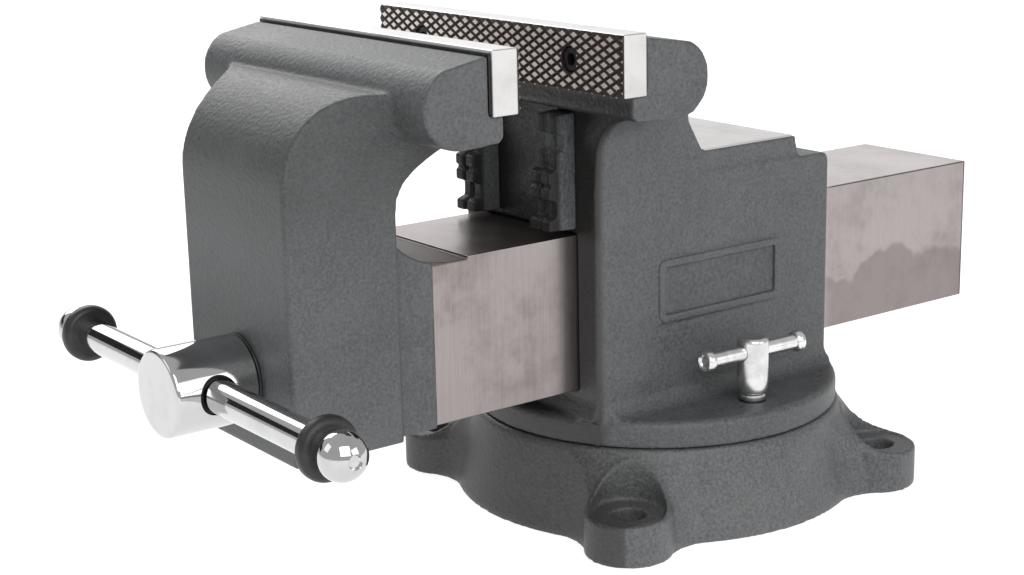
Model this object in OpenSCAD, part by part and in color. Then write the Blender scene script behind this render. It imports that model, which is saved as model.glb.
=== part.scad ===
// Bench vise on a swivel base: a static jaw with an anvil, a front jaw that slides on a square bar,
// a screw spindle with a sliding handle, and two lock screws that clamp the swivel.
// X runs across the jaws, +Y points to the back, Z is up. The origin is on the swivel axis at the bench.

/* [Jaws] */
// Width of each jaw insert
jaw_w = 203; // [190:1:215]
// Gap between the inserts as drawn
jaw_open = 58; // [40:1:70]
// Height of the inserts' top edge above the bench
jaw_top = 261.5; // [256:0.5:266]
// Height of an insert
insert_h = 29.5; // [26:0.5:32]
// Thickness of an insert
insert_t = 16; // [14:1:18]
// How far an insert's ends stand out from the castings
insert_proud = 1.5; // [0:0.5:3]

/* [Static jaw] */
// Half width of the body between its flat sides
body_half = 55; // [52:1:58]
// Length of the body along the slide
body_len = 162; // [150:1:170]
// Height of the body's flat top behind the jaw
body_top = 179; // [176:1:184]
// How far the anvil pad stands above the body's top
anvil_h = 12; // [8:1:16]
// Radius of the swivel flange
flange_r = 99; // [97:1:101]
// Thickness of the swivel flange
flange_t = 14; // [12:1:16]

/* [Slide and front jaw] */
// Width of the slide bar
slide_w = 79; // [76:1:82]
// Height of the slide bar
slide_h = 81; // [78:1:83]
// How far the slide bar reaches behind the swivel axis
slide_rear = 207; // [180:1:240]
// Width of the front jaw's column
column_w = 96.6; // [90:0.2:102]
// Thickness of the front jaw's column, front to back
column_t = 59; // [54:1:64]

/* [Spindle and handle] */
// Outer radius of the spindle's thread and journal
spindle_r = 16; // [14:0.5:17]
// Radius of the spindle's head
head_r = 21; // [19:0.5:22]
// Radius of the handle rod
handle_r = 8; // [7:0.5:9]
// Distance from the handle's middle to the centre of a ball end
handle_reach = 128.5; // [115:0.5:130]

/* [Swivel base] */
// Height of the base up to the flange
base_h = 46.7; // [45:0.1:48]
// Radius of the skirt at the bench
base_r = 110.5; // [109:0.5:114]
// Distance from the swivel axis to each bench bolt
lug_reach = 122; // [120:1:126]
// Radius of each bench bolt hole
bolt_hole_r = 8.7; // [6.5:0.1:9.5]
// Distance from the swivel axis to each lock screw
lock_reach = 78; // [77:0.5:79]

/* [Hidden] */

$fn = 64;
// Gap left between flat faces that slide or turn on each other
gap = 0.3;
// Radial clearance of a shaft that turns or slides in its hole
run = 0.06;
// Overshoot of a cutting shape past the face that it cuts
over = 1;

// Colours of the finishes
paint = "dimgray";
bright_steel = "lightgray";
chrome = "silver";
black = "black";
dark_steel = "darkslategray";
bronze = "goldenrod";

// Jaw faces, front to back: the throat lies between the two serrated faces
rear_face = -106;
front_face = rear_face - jaw_open;
front_seat = front_face - insert_t;
ledge_t = insert_t / 2;
rear_ledge = rear_face + ledge_t;
front_ledge = front_face - ledge_t;
casting_w = jaw_w - 2 * insert_proud;
ledge_z = jaw_top - insert_h;
casting_top = jaw_top - 2.5;
bar_bottom = ledge_z - 12;
bulb_r = 18.7;
bulb_z = bar_bottom + bulb_r - 1;
front_bulb_reach = 23;
rear_bulb_reach = 28;

// Insert screws: socket heads sunk in the serrated faces
insert_screw_x = 62;
insert_screw_z = jaw_top - 14.7;
insert_head_r = 6;
insert_shank_r = 4;
insert_head_len = 8;
insert_head_sink = 1.5;
insert_screw_len = 34;

// Body of the static jaw
body_front = -85;
body_rear = body_front + body_len;
flange_z = base_h + gap;
flange_top = flange_z + flange_t;
foot_r = 9;
neck_rear = -14;
neck_arch_r = 37;
flare_r = 24;

// Slide bar and the channel beneath it that the nut stands in
slide_half = slide_w / 2;
slide_z = 74;
slide_top = slide_z + slide_h;
floor_z = slide_z - gap;
channel_half = 24;
column_rear = -196.5;
column_front = column_rear - column_t;
column_z = 73;
arch_r = 44;
throat_r = 28;
throat_z = slide_top + 30;
root_rear = -172.5;
step_y = -151.5;
root_fillet_r = 38.3;
root_low_y = -165;
root_low_z = slide_top - 0.5;
web_r = 38;
channel_front = column_rear + 8.5;

// Spindle, its nut and its retaining collar
spindle_z = 106.5;
channel_top = spindle_z + 31.5;
washer_t = 1.5;
head_front = -299;
head_rear = column_front - washer_t - gap;
screw_tip = 120;
collar_len = 13.5;
collar_r = 23;
nut_front = -75;
nut_len = 55;
nut_half = 20;
nut_screw_ys = [nut_front + 12, nut_front + nut_len - 12];
nut_screw_r = 5;

// Handle rod with its ball ends and bumper rings
handle_y = -278;
handle_rest = -2;
ball_r = 11.2;
bumper_r = 14.5;
bumper_w = 8;
bumper_x = handle_reach - 12;

// Pivot pin in the middle of the swivel
pivot_r = 14;
pivot_low = 17.5;
pivot_high = 62;

// Tee groove in the base, and the lock screws that clamp it
groove_half = 8;
groove_lip = 10;
undercut_half = 16;
undercut_z = 21;
floor_t = 8;
lock_shank_r = 6;
lock_post_r = 8.2;
lock_post_z = 95;
lock_bar_z = 87;
lock_bar_r = 4;
lock_bar_half = 33;
lock_cap_r = 5.6;
lock_cap_len = 5;
lock_bar_angle = -2;

// Lugs of the base, each with a spot face sunk into the ridge that ties it to the rim
base_turn = -2;
lug_r = 22.5;
lug_h = 21;
lug_centre = lug_reach - 2;
ridge_r = 10;
fillet_r = 30;
fillet_bite = 0.4;
spot_r = 19;
rim_r = 101;
hub_r = 32;
rib_r = 59;

// Toothed pipe jaws in the throat
pipe_jaw_w = 16;
pipe_jaw_x = 32;
pipe_tooth_deep = 17;
pipe_tooth_mid = 12;
pipe_tooth_low = 7;
pipe_low_z = slide_top + 3;
pipe_pin_r = 3;

// Stepped teeth of a pipe jaw: [height above the lowest edge, depth of the tooth], from the bottom up
pipe_steps = [[0, pipe_tooth_deep], [7, pipe_tooth_mid], [16, pipe_tooth_deep], [31, pipe_tooth_mid],
    [40, pipe_tooth_low], [49, pipe_tooth_mid], [59, pipe_tooth_mid]];
pipe_pin_zs = [pipe_low_z + 11.5, pipe_low_z + 54];
front_pipe_z = pipe_low_z + pipe_steps[2][0];
front_pipe_h = pipe_steps[5][0] - pipe_steps[2][0];
front_pin_zs = [front_pipe_z + 8, front_pipe_z + 28];

// Points along an arc of a circle, from one angle to another
function arc(centre, r, from, to, n = 12) =
    [for (i = [0:n]) centre + r * [cos(from + (to - from) * i / n), sin(from + (to - from) * i / n)]];

// A list of [x, y] points turned over left to right
function flipped(points) = [for (i = [len(points) - 1:-1:0]) [-points[i][0], points[i][1]]];

// Draws a front-to-back outline as a slab of the given width, centred on X
module slab(width) {
    rotate([90, 0, 90])
        linear_extrude(width, center = true)
            children();
}

// Cylinder that runs back along +Y from its start
module rod_y(x, y, z, r, len) {
    translate([x, y, z])
        rotate([-90, 0, 0])
            cylinder(r = r, h = len);
}

// Cylinder centred on X
module rod_x(y, z, r, len) {
    translate([0, y, z])
        rotate([0, 90, 0])
            cylinder(r = r, h = len, center = true);
}

// Copies its children at the left and at the right
module both_sides(x) {
    for (side = [-1, 1])
        translate([side * x, 0, 0])
            children();
}

// Thick rounded bar that carries an insert, measured from the ledge beneath the insert
module jaw_bar(reach) {
    bulb = [reach, bulb_z];
    slab(casting_w)
        polygon(concat(
            [[0, ledge_z], [0, bar_bottom + 2.5], [2.5, bar_bottom]],
            [[reach - 5, bar_bottom - 1]],
            arc(bulb, bulb_r, -90, 65, 20),
            [[ledge_t, casting_top], [ledge_t, ledge_z]]));
}

// One insert block: its serrated face lies at y = 0 and its back at y = insert_t
module insert_block() {
    difference() {
        translate([-jaw_w / 2, 0, ledge_z])
            cube([jaw_w, insert_t, insert_h]);
        both_sides(insert_screw_x) {
            rod_y(0, -over, insert_screw_z, insert_shank_r + 0.3, insert_t + 2 * over);
            rod_y(0, -over, insert_screw_z, insert_head_r + 0.3, over + insert_head_sink + insert_head_len);
        }
    }
}

// The two socket screws of an insert, with the heads towards y = 0
module insert_screw_pair() {
    both_sides(insert_screw_x)
        difference() {
            union() {
                rod_y(0, insert_head_sink, insert_screw_z, insert_head_r, insert_head_len);
                rod_y(0, insert_head_sink + insert_head_len, insert_screw_z, insert_shank_r,
                    insert_screw_len - insert_head_len);
            }
            translate([0, insert_head_sink - over, insert_screw_z])
                rotate([-90, 0, 0])
                    cylinder(r = 3.4, h = 4 + over, $fn = 6);
        }
}

// Holes in a casting for the insert screws
module insert_screw_holes() {
    both_sides(insert_screw_x)
        rod_y(0, insert_t - over, insert_screw_z, insert_shank_r,
            insert_screw_len + insert_head_sink - insert_t + over + 2);
}

// Ring-shaped hollow in the underside of the base
module ring_hollow(inner, outer) {
    rotate_extrude()
        polygon([[inner, -over], [outer + 1, -over], [outer - 1, undercut_z - floor_t],
            [inner, undercut_z - floor_t]]);
}

// Ring-shaped groove of square section under the lock screws
module ring_groove(half, low, high) {
    translate([0, 0, low])
        difference() {
            cylinder(r = lock_reach + half, h = high - low);
            translate([0, 0, -over])
                cylinder(r = lock_reach - half, h = high - low + 2 * over);
        }
}

// Copies its children at the four lugs, drawn as if the lug stood on +X
module at_lugs() {
    for (a = [45:90:315])
        rotate([0, 0, a + base_turn])
            children();
}

// One lug with the ridge that ties it to the rim
module lug() {
    hull() {
        translate([lug_centre, 0, 0])
            cylinder(r = lug_r, h = lug_h, $fn = 48);
        translate([rim_r - 2 - ridge_r, 0, 0])
            cylinder(r = ridge_r, h = base_h - 2, $fn = 24);
    }
}

// Concave fillets in the corners between a lug and the skirt, up to the rim
module lug_fillets() {
    reach = base_r + fillet_r - fillet_bite;
    side = lug_r + fillet_r - fillet_bite;
    x = (pow(reach, 2) - pow(side, 2) + pow(lug_centre, 2)) / (2 * lug_centre);
    centre = [x, sqrt(pow(reach, 2) - pow(x, 2))];
    inner = base_r - 25;
    intersection() {
        for (turn = [0, 1])
            mirror([0, turn, 0])
                difference() {
                    linear_extrude(base_h - 2.2)
                        polygon([[inner, 0], [lug_centre, 0], centre, inner / reach * centre]);
                    translate(centre)
                        rotate_extrude()
                            polygon([[0, -over], [fillet_r, -over], [fillet_r, 3],
                                [fillet_r + base_r - rim_r, base_h - 2.5],
                                [fillet_r + base_r - rim_r, base_h], [0, base_h]]);
                }
        cylinder(r1 = rim_r + 33, r2 = rim_r - 1, h = base_h - 2);
    }
}

module swivel_base() {
    color(paint)
        difference() {
            union() {
                rotate_extrude()
                    polygon([[0, 0], [base_r, 0], [base_r, 3], [rim_r, base_h - 2.5], [rim_r - 1.5, base_h],
                        [0, base_h]]);
                at_lugs() {
                    lug();
                    lug_fillets();
                }
            }
            // tee groove for the lock screws, open at the top
            ring_groove(groove_half, base_h - groove_lip - over, base_h + over);
            ring_groove(undercut_half, undercut_z, base_h - groove_lip);
            // two ring-shaped hollows in the underside, with a rib between them
            ring_hollow(hub_r, rib_r - 3);
            ring_hollow(rib_r + 3, base_r - 17);
            translate([0, 0, -over])
                cylinder(r = pivot_r + run, h = base_h + 2 * over);
            translate([0, 0, -over])
                cylinder(r = hub_r - 6, h = pivot_low + gap + over);
            // window that lets the tee nuts into the groove
            translate([0, lock_reach, -over])
                cylinder(r = 15, h = undercut_z + 2 * over);
            at_lugs()
                translate([lug_reach, 0, 0]) {
                    translate([0, 0, -over])
                        cylinder(r = bolt_hole_r, h = lug_h + 2 * over);
                    translate([0, 0, lug_h])
                        cylinder(r = spot_r, h = base_h);
                }
        }
}

// Fan-shaped underside that spreads the body out to the full width of the jaw
module rear_flare() {
    side = concat(
        [[body_half - 3, body_top - 2], [body_half, body_top], [body_half + 1, bar_bottom - flare_r - 3]],
        arc([body_half + 1 + flare_r, bar_bottom - flare_r - 3], flare_r, 180, 90),
        [[casting_w / 2, bar_bottom + 1], [casting_w / 2, bar_bottom + 9]]);
    translate([0, rear_ledge + 38, 0])
        rotate([90, 0, 0])
            linear_extrude(rear_ledge + 38 - body_front)
                polygon(concat(side, flipped(side)));
}

// Outline of the body seen from the side, from the flange to the neck behind the jaw
module body_outline() {
    arch = [rear_ledge + 38, bar_bottom + 24 - neck_arch_r];
    polygon(concat(
        [[body_front, flange_z], [body_front, bar_bottom + 5], [rear_ledge + 28, bar_bottom + 25]],
        arc(arch, neck_arch_r, 90, 0),
        [[neck_rear, body_top + anvil_h], [neck_rear + 2, body_top]],
        arc([body_rear - 4, body_top - 4], 4, 90, 0, 6),
        [[body_rear, flange_z]]));
}

// Section of a concave fillet in the corner between two walls, which it overlaps
module fillet_section(wall_overlap) {
    difference() {
        translate([-wall_overlap, -over])
            square([foot_r + wall_overlap, foot_r + over]);
        translate([foot_r, foot_r])
            circle(r = foot_r);
    }
}

// Concave fillets between the flange and the right side and rear of the body, with their corner
module foot_fillets() {
    translate([body_half, body_rear, flange_top]) {
        rotate([90, 0, 0])
            linear_extrude(body_len - 1)
                fillet_section(over);
        rotate_extrude(angle = 90)
            fillet_section(0);
        rotate([90, 0, 90])
            translate([0, 0, -body_half])
                linear_extrude(body_half)
                    fillet_section(over);
    }
}

// Raised rectangular border on a side of the body, around a bare panel
module panel_border() {
    difference() {
        translate([body_half - over, -45, 105])
            cube([over + 1.2, 85, 33]);
        translate([body_half - 2 * over, -42, 108])
            cube([4 * over, 79, 27]);
    }
}

// Flat disc of the swivel flange, rounded along its upper edge
module flange_disc() {
    translate([0, 0, flange_z])
        rotate_extrude()
            polygon([[0, 0], [flange_r, 0], [flange_r, flange_t - 3], [flange_r - 1, flange_t - 1],
                [flange_r - 3, flange_t], [0, flange_t]]);
}

module rear_jaw() {
    color(paint)
        difference() {
            union() {
                translate([0, rear_ledge, 0])
                    jaw_bar(rear_bulb_reach);
                rear_flare();
                slab(2 * body_half)
                    body_outline();
                flange_disc();
                slab(2 * body_half - 3)
                    polygon([[neck_rear - 6, body_top - over], [neck_rear - 6, body_top + anvil_h],
                        [53, body_top + anvil_h], [56, body_top - over]]);
                // chin below the mouth of the tunnel
                slab(2 * body_half)
                    polygon([[body_front + over, flange_top - over], [body_front - 4, flange_top - over],
                        [body_front - 3, flange_top + 2], [body_front, flange_top + foot_r],
                        [body_front + over, flange_top + foot_r]]);
                for (side = [0, 1])
                    mirror([side, 0, 0]) {
                        intersection() {
                            foot_fillets();
                            cylinder(r = flange_r - 2, h = flange_top + 2 * foot_r);
                        }
                        panel_border();
                    }
            }
            // square tunnel for the slide
            translate([-slide_half - gap, body_front - 30, floor_z])
                cube([slide_w + 2 * gap, body_len + 60, slide_h + 2 * gap]);
            translate([0, rear_face, 0])
                insert_screw_holes();
            both_sides(pipe_jaw_x)
                for (z = pipe_pin_zs)
                    rod_y(0, body_front - over, z, pipe_pin_r, 12 + over);
            both_sides(lock_reach)
                translate([0, 0, flange_z - over])
                    cylinder(r = lock_shank_r + 0.5, h = flange_t + 2 * over);
            translate([0, 0, flange_z - over])
                cylinder(r = pivot_r, h = pivot_high - flange_z + over);
            for (y = nut_screw_ys)
                translate([0, y, flange_z - over]) {
                    cylinder(r = 8.5, h = 11 + over);
                    cylinder(r = nut_screw_r, h = floor_z - flange_z + 2 * over);
                }
        }
}

module rear_jaw_insert() {
    color(bright_steel)
        translate([0, rear_face, 0])
            insert_block();
}

module rear_insert_screws() {
    color(dark_steel)
        translate([0, rear_face, 0])
            insert_screw_pair();
}

// Outline of a pipe jaw from its back face at y = 0, with the teeth towards -y
module pipe_jaw_outline(first, last) {
    steps = [for (i = [first:last - 1]) each [[-pipe_steps[i][1], pipe_steps[i][0] + 0.8],
        [-pipe_steps[i][1], pipe_steps[i + 1][0] - 0.8]]];
    polygon(concat([[0, pipe_steps[first][0]]], steps, [[0, pipe_steps[last][0]]]));
}

module rear_pipe_jaws() {
    color(paint)
        difference() {
            both_sides(pipe_jaw_x)
                translate([0, body_front, pipe_low_z])
                    slab(pipe_jaw_w)
                        pipe_jaw_outline(0, 6);
            both_sides(pipe_jaw_x)
                for (z = pipe_pin_zs)
                    rod_y(0, body_front - 8, z, pipe_pin_r, 8 + over);
        }
}

module rear_pipe_jaw_pins() {
    color(dark_steel)
        both_sides(pipe_jaw_x)
            for (z = pipe_pin_zs)
                rod_y(0, body_front - 7.5, z, pipe_pin_r, 18);
}

module spindle_nut() {
    color(bronze)
        difference() {
            translate([-nut_half, nut_front, floor_z])
                cube([2 * nut_half, nut_len, spindle_z + 24 - floor_z]);
            rod_y(0, nut_front - over, spindle_z, spindle_r + run, nut_len + 2 * over);
            for (y = nut_screw_ys)
                translate([0, y, floor_z - over])
                    cylinder(r = nut_screw_r, h = 13 + over);
        }
}

module spindle_nut_screws() {
    color(dark_steel)
        for (y = nut_screw_ys)
            translate([0, y, 0])
                difference() {
                    union() {
                        translate([0, 0, flange_z + 1])
                            cylinder(r = 8, h = 10);
                        translate([0, 0, flange_z + 11])
                            cylinder(r = nut_screw_r, h = floor_z + 12.5 - flange_z - 11);
                    }
                    translate([0, 0, flange_z + 1 - over])
                        cylinder(r = 4.6, h = 5 + over, $fn = 6);
                }
}

module swivel_pivot() {
    color(dark_steel)
        difference() {
            translate([0, 0, pivot_low])
                cylinder(r = pivot_r, h = pivot_high - pivot_low);
            translate([0, 0, pivot_low - over])
                cylinder(r = 6, h = 20 + over);
        }
}

module pivot_washer() {
    color(dark_steel)
        translate([0, 0, pivot_low - 5])
            difference() {
                cylinder(r = hub_r - 8, h = 5);
                translate([0, 0, -over])
                    cylinder(r = 6, h = 5 + 2 * over);
            }
}

module pivot_screw() {
    color(dark_steel)
        translate([0, 0, pivot_low - 5])
            union() {
                translate([0, 0, -7.5])
                    cylinder(r = 10.5, h = 7.5, $fn = 6);
                cylinder(r = 6, h = 24);
            }
}

module lock_tee_nuts() {
    color(dark_steel)
        both_sides(lock_reach)
            difference() {
                translate([-12, -14, undercut_z + 4])
                    cube([24, 28, base_h - groove_lip - gap - undercut_z - 4]);
                translate([0, 0, undercut_z])
                    cylinder(r = lock_shank_r + run, h = base_h - undercut_z);
            }
}

// Gooseneck outline of the front jaw's column, from its foot to the jaw bar
module column_outline() {
    arch = [column_front + arch_r, bar_bottom + 23 - arch_r];
    polygon(concat(
        [[column_rear, column_z], [column_front, column_z]],
        arc(arch, arch_r, 180, 90, 16),
        [[front_seat - 8, bar_bottom + 25], [front_seat - 1, ledge_z], [front_ledge - 1.5, bar_bottom + 6]],
        [[front_ledge - 1.5, throat_z + throat_r]],
        arc([column_rear + throat_r, throat_z], throat_r, 100, 180)));
}

// Painted root of the slide, a little wider than the slide and rising to the column
module slide_root() {
    slab(slide_w + 3)
        polygon([[column_rear - over, slide_z - 1], [column_rear - over, slide_top + 18],
            [root_rear, slide_top + 18], [root_rear, slide_z - 1]]);
}

// Dish in the top of the root, from the column down to just under the machined top
module root_dish() {
    slab(slide_w + 10)
        polygon(concat(
            arc([root_low_y, root_low_z + root_fillet_r], root_fillet_r, 180, 270, 10),
            [[step_y, root_low_z], [step_y, root_low_z + root_fillet_r]]));
}

// Trumpet-shaped webs from the sides of the column out to the ends of the jaw bar
module bar_webs() {
    half = column_w / 2;
    web_mouth_r = bulb_r + web_r - 2;
    intersection() {
        slab(casting_w)
            column_outline();
        translate([0, front_ledge - front_bulb_reach, bulb_z])
            for (side = [-90, 90])
                rotate([0, side, 0])
                    rotate_extrude()
                        polygon(concat(
                            [[0, half - over], [web_mouth_r, half - over]],
                            arc([web_mouth_r, half + web_r], web_r, 270, 180, 8),
                            [[0, half + web_r]]));
    }
}

module front_jaw() {
    color(paint)
        difference() {
            union() {
                translate([0, front_ledge, 0])
                    mirror([0, 1, 0])
                        jaw_bar(front_bulb_reach);
                slab(column_w)
                    column_outline();
                bar_webs();
                difference() {
                    union() {
                        slide_root();
                        translate([-slide_half, column_rear - over, slide_z])
                            cube([slide_w, slide_rear - column_rear + over, slide_h]);
                    }
                    root_dish();
                }
            }
            // channel that clears the nut and the spindle
            translate([-channel_half, channel_front, slide_z - over - 1])
                cube([2 * channel_half, slide_rear - channel_front + over,
                    channel_top - slide_z + over + 1]);
            rod_y(0, column_front - over, spindle_z, spindle_r + run, column_t + 10 + 2 * over);
            translate([0, front_face, 0])
                mirror([0, 1, 0])
                    insert_screw_holes();
            // seat for the pipe jaw
            translate([-20, column_rear, front_pipe_z])
                cube([40, 20, front_pipe_h]);
            for (z = front_pin_zs)
                rod_y(0, column_rear - 12, z, pipe_pin_r, 12 + over);
        }
}

module front_jaw_insert() {
    color(bright_steel)
        translate([0, front_face, 0])
            mirror([0, 1, 0])
                insert_block();
}

module front_insert_screws() {
    color(dark_steel)
        translate([0, front_face, 0])
            mirror([0, 1, 0])
                insert_screw_pair();
}

// The front pipe jaw has the upper teeth only and stands between the two rear ones
module front_pipe_jaw() {
    color(paint)
        difference() {
            translate([0, column_rear, pipe_low_z])
                mirror([0, 1, 0])
                    slab(40)
                        pipe_jaw_outline(2, 5);
            for (z = front_pin_zs)
                rod_y(0, column_rear - over, z, pipe_pin_r, 5 + over);
        }
}

module front_pipe_jaw_pins() {
    color(dark_steel)
        for (z = front_pin_zs)
            rod_y(0, column_rear - 11.5, z, pipe_pin_r, 16);
}

module thrust_washer() {
    color(black)
        difference() {
            rod_y(0, column_front - washer_t, spindle_z, head_r, washer_t);
            rod_y(0, column_front - washer_t - over, spindle_z, spindle_r + run, washer_t + 2 * over);
        }
}

module spindle() {
    color(chrome)
        difference() {
            union() {
                translate([0, head_front, spindle_z])
                    rotate([-90, 0, 0])
                        rotate_extrude()
                            polygon([[0, 0], [head_r - 2, 0], [head_r - 0.6, 0.6], [head_r, 2],
                                [head_r, head_rear - head_front], [0, head_rear - head_front]]);
                rod_y(0, head_rear - over, spindle_z, spindle_r, screw_tip - head_rear + over);
            }
            rod_x(handle_y, spindle_z, handle_r + run, 4 * head_r);
            rod_x(channel_front + gap + collar_len / 2, spindle_z, 3, 4 * head_r);
        }
}

module spindle_collar() {
    color(dark_steel)
        difference() {
            rod_y(0, channel_front + gap, spindle_z, collar_r, collar_len);
            rod_y(0, channel_front - over, spindle_z, spindle_r, collar_len + 3 * over);
            rod_x(channel_front + gap + collar_len / 2, spindle_z, 3, 4 * head_r);
        }
}

module spindle_collar_pin() {
    color(dark_steel)
        rod_x(channel_front + gap + collar_len / 2, spindle_z, 3, 2 * collar_r - 2);
}

module handle_rod() {
    color(chrome)
        translate([handle_rest, 0, 0])
            rod_x(handle_y, spindle_z, handle_r, 2 * (handle_reach - 4));
}

module handle_balls() {
    color(chrome)
        translate([handle_rest, handle_y, spindle_z])
            for (side = [0, 1])
                mirror([side, 0, 0])
                    difference() {
                        translate([handle_reach, 0, 0]) {
                            sphere(r = ball_r);
                            rotate([0, -90, 0])
                                cylinder(r = handle_r + 1.5, h = handle_reach - bumper_x - bumper_w / 2);
                        }
                        translate([handle_reach - 4 - 12, 0, 0])
                            rotate([0, 90, 0])
                                cylinder(r = handle_r, h = 12);
                    }
}

module handle_bumpers() {
    color(black)
        translate([handle_rest, handle_y, spindle_z])
            for (side = [-1, 1])
                translate([side * bumper_x, 0, 0])
                    rotate([0, 90, 0])
                        rotate_extrude()
                            polygon(concat(
                                [[handle_r, -bumper_w / 2]],
                                arc([bumper_r - 3, -bumper_w / 2 + 3], 3, -90, 0, 6),
                                arc([bumper_r - 3, bumper_w / 2 - 3], 3, 0, 90, 6),
                                [[handle_r, bumper_w / 2]]));
}

// Chromed post of a lock screw, with its shank down to the tee nut and a cross hole for the bar
module lock_screw() {
    color(chrome)
        difference() {
            union() {
                rotate_extrude()
                    polygon([[0, flange_top + gap], [6.8, flange_top + gap], [6.8, flange_top + 3],
                        [6, flange_top + 3.6], [6.2, flange_top + 5], [7, flange_top + 6],
                        [lock_post_r, lock_bar_z - 5.5], [lock_post_r, lock_bar_z + 5.5],
                        [lock_post_r - 0.8, lock_post_z - 1], [lock_post_r - 2, lock_post_z],
                        [0, lock_post_z]]);
                translate([0, 0, undercut_z + 3])
                    cylinder(r = lock_shank_r, h = flange_top + 3 - undercut_z);
            }
            rotate([0, 0, lock_bar_angle])
                translate([0, 0, lock_bar_z])
                    rotate([90, 0, 0])
                        cylinder(r = lock_bar_r + run, h = 30, center = true);
        }
}

// Sliding cross bar of a lock screw
module lock_bar() {
    color(chrome)
        rotate([0, 0, lock_bar_angle])
            translate([0, 0, lock_bar_z])
                rotate([90, 0, 0])
                    cylinder(r = lock_bar_r, h = 2 * lock_bar_half - 4, center = true);
}

// Flared caps on the two ends of a lock bar
module lock_bar_caps() {
    color(chrome)
        rotate([0, 0, lock_bar_angle])
            translate([0, 0, lock_bar_z])
                for (turn = [-90, 90])
                    rotate([turn, 0, 0])
                        translate([0, 0, lock_bar_half - lock_cap_len])
                            difference() {
                                rotate_extrude()
                                    polygon([[0, 0], [lock_cap_r - 1, 0], [lock_cap_r, 1.5],
                                        [lock_cap_r, 3.5], [lock_cap_r - 1.5, lock_cap_len],
                                        [0, lock_cap_len]]);
                                translate([0, 0, -over])
                                    cylinder(r = lock_bar_r, h = lock_cap_len - 2 + over);
                            }
}

module lock_screw_right() {
    translate([lock_reach, 0, 0])
        lock_screw();
}

module lock_bar_right() {
    translate([lock_reach, 0, 0])
        lock_bar();
}

module lock_bar_caps_right() {
    translate([lock_reach, 0, 0])
        lock_bar_caps();
}

module lock_screw_left() {
    translate([-lock_reach, 0, 0])
        lock_screw();
}

module lock_bar_left() {
    translate([-lock_reach, 0, 0])
        lock_bar();
}

module lock_bar_caps_left() {
    translate([-lock_reach, 0, 0])
        lock_bar_caps();
}

swivel_base();
rear_jaw();
rear_jaw_insert();
rear_insert_screws();
rear_pipe_jaws();
rear_pipe_jaw_pins();
spindle_nut();
spindle_nut_screws();
swivel_pivot();
pivot_washer();
pivot_screw();
lock_tee_nuts();
front_jaw();
front_jaw_insert();
front_insert_screws();
front_pipe_jaw();
front_pipe_jaw_pins();
thrust_washer();
spindle();
spindle_collar();
spindle_collar_pin();
handle_rod();
handle_balls();
handle_bumpers();
lock_screw_right();
lock_bar_right();
lock_bar_caps_right();
lock_screw_left();
lock_bar_left();
lock_bar_caps_left();
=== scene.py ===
"""Bench vise: sand-cast bodies, machined slide, serrated inserts, chromed screw and handle."""

import logging
import math
from dataclasses import dataclass, field, replace
from enum import Enum
from typing import Any, Iterable, Sequence

import bmesh
import bpy
from mathutils import Matrix, Vector


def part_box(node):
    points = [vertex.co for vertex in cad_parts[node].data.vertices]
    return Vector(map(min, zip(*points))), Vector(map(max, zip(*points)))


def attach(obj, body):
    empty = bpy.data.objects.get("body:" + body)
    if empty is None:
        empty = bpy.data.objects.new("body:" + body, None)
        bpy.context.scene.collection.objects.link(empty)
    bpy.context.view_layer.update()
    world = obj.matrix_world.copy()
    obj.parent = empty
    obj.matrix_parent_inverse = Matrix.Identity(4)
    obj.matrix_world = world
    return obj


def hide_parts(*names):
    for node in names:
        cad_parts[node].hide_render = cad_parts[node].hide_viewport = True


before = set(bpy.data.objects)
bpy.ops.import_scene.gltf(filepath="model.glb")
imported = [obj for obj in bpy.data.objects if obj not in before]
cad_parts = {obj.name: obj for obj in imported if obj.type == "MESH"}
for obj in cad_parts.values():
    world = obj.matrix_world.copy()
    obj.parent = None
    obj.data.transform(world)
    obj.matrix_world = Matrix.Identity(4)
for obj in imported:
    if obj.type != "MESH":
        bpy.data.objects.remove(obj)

MM = 0.001
TOOTH_DEPTH = 1.1 * MM
SPINDLE_Y, SPINDLE_Z = -278.0 * MM, 106.5 * MM  # where the handle crosses the spindle
LOCK_X = 78.0 * MM  # how far to each side the lock screws stand
WELD = 0.001 * MM  # points closer than this are one
ON_AXIS = 0.01 * MM  # radius that all but closes a ring on its axis
CREASE = 38.0  # degrees past which an edge of a machined piece shades sharp
log = logging.getLogger("vise")

Point2 = tuple[float, float]
Point3 = tuple[float, float, float]
Colour = tuple[float, float, float]


class Axis(Enum):
    """Axis that a round or drawn-out shape runs along."""

    X = ("Y", 90.0)
    Y = ("X", -90.0)

    def turn(self) -> Matrix:
        """Rotation that carries +Z onto this axis."""
        about, degrees = self.value
        return Matrix.Rotation(math.radians(degrees), 4, about)


class Body(Enum):
    """The CAD bodies that pieces move with."""

    BASE = "fixed_base"
    STATIC = "swivel_body"
    SLIDING = "sliding_jaw"
    SCREW = "screw"
    HANDLE = "handle"
    RIGHT_LOCK = "right_lock"
    RIGHT_BAR = "right_lock_bar"
    LEFT_LOCK = "left_lock"
    LEFT_BAR = "left_lock_bar"


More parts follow.
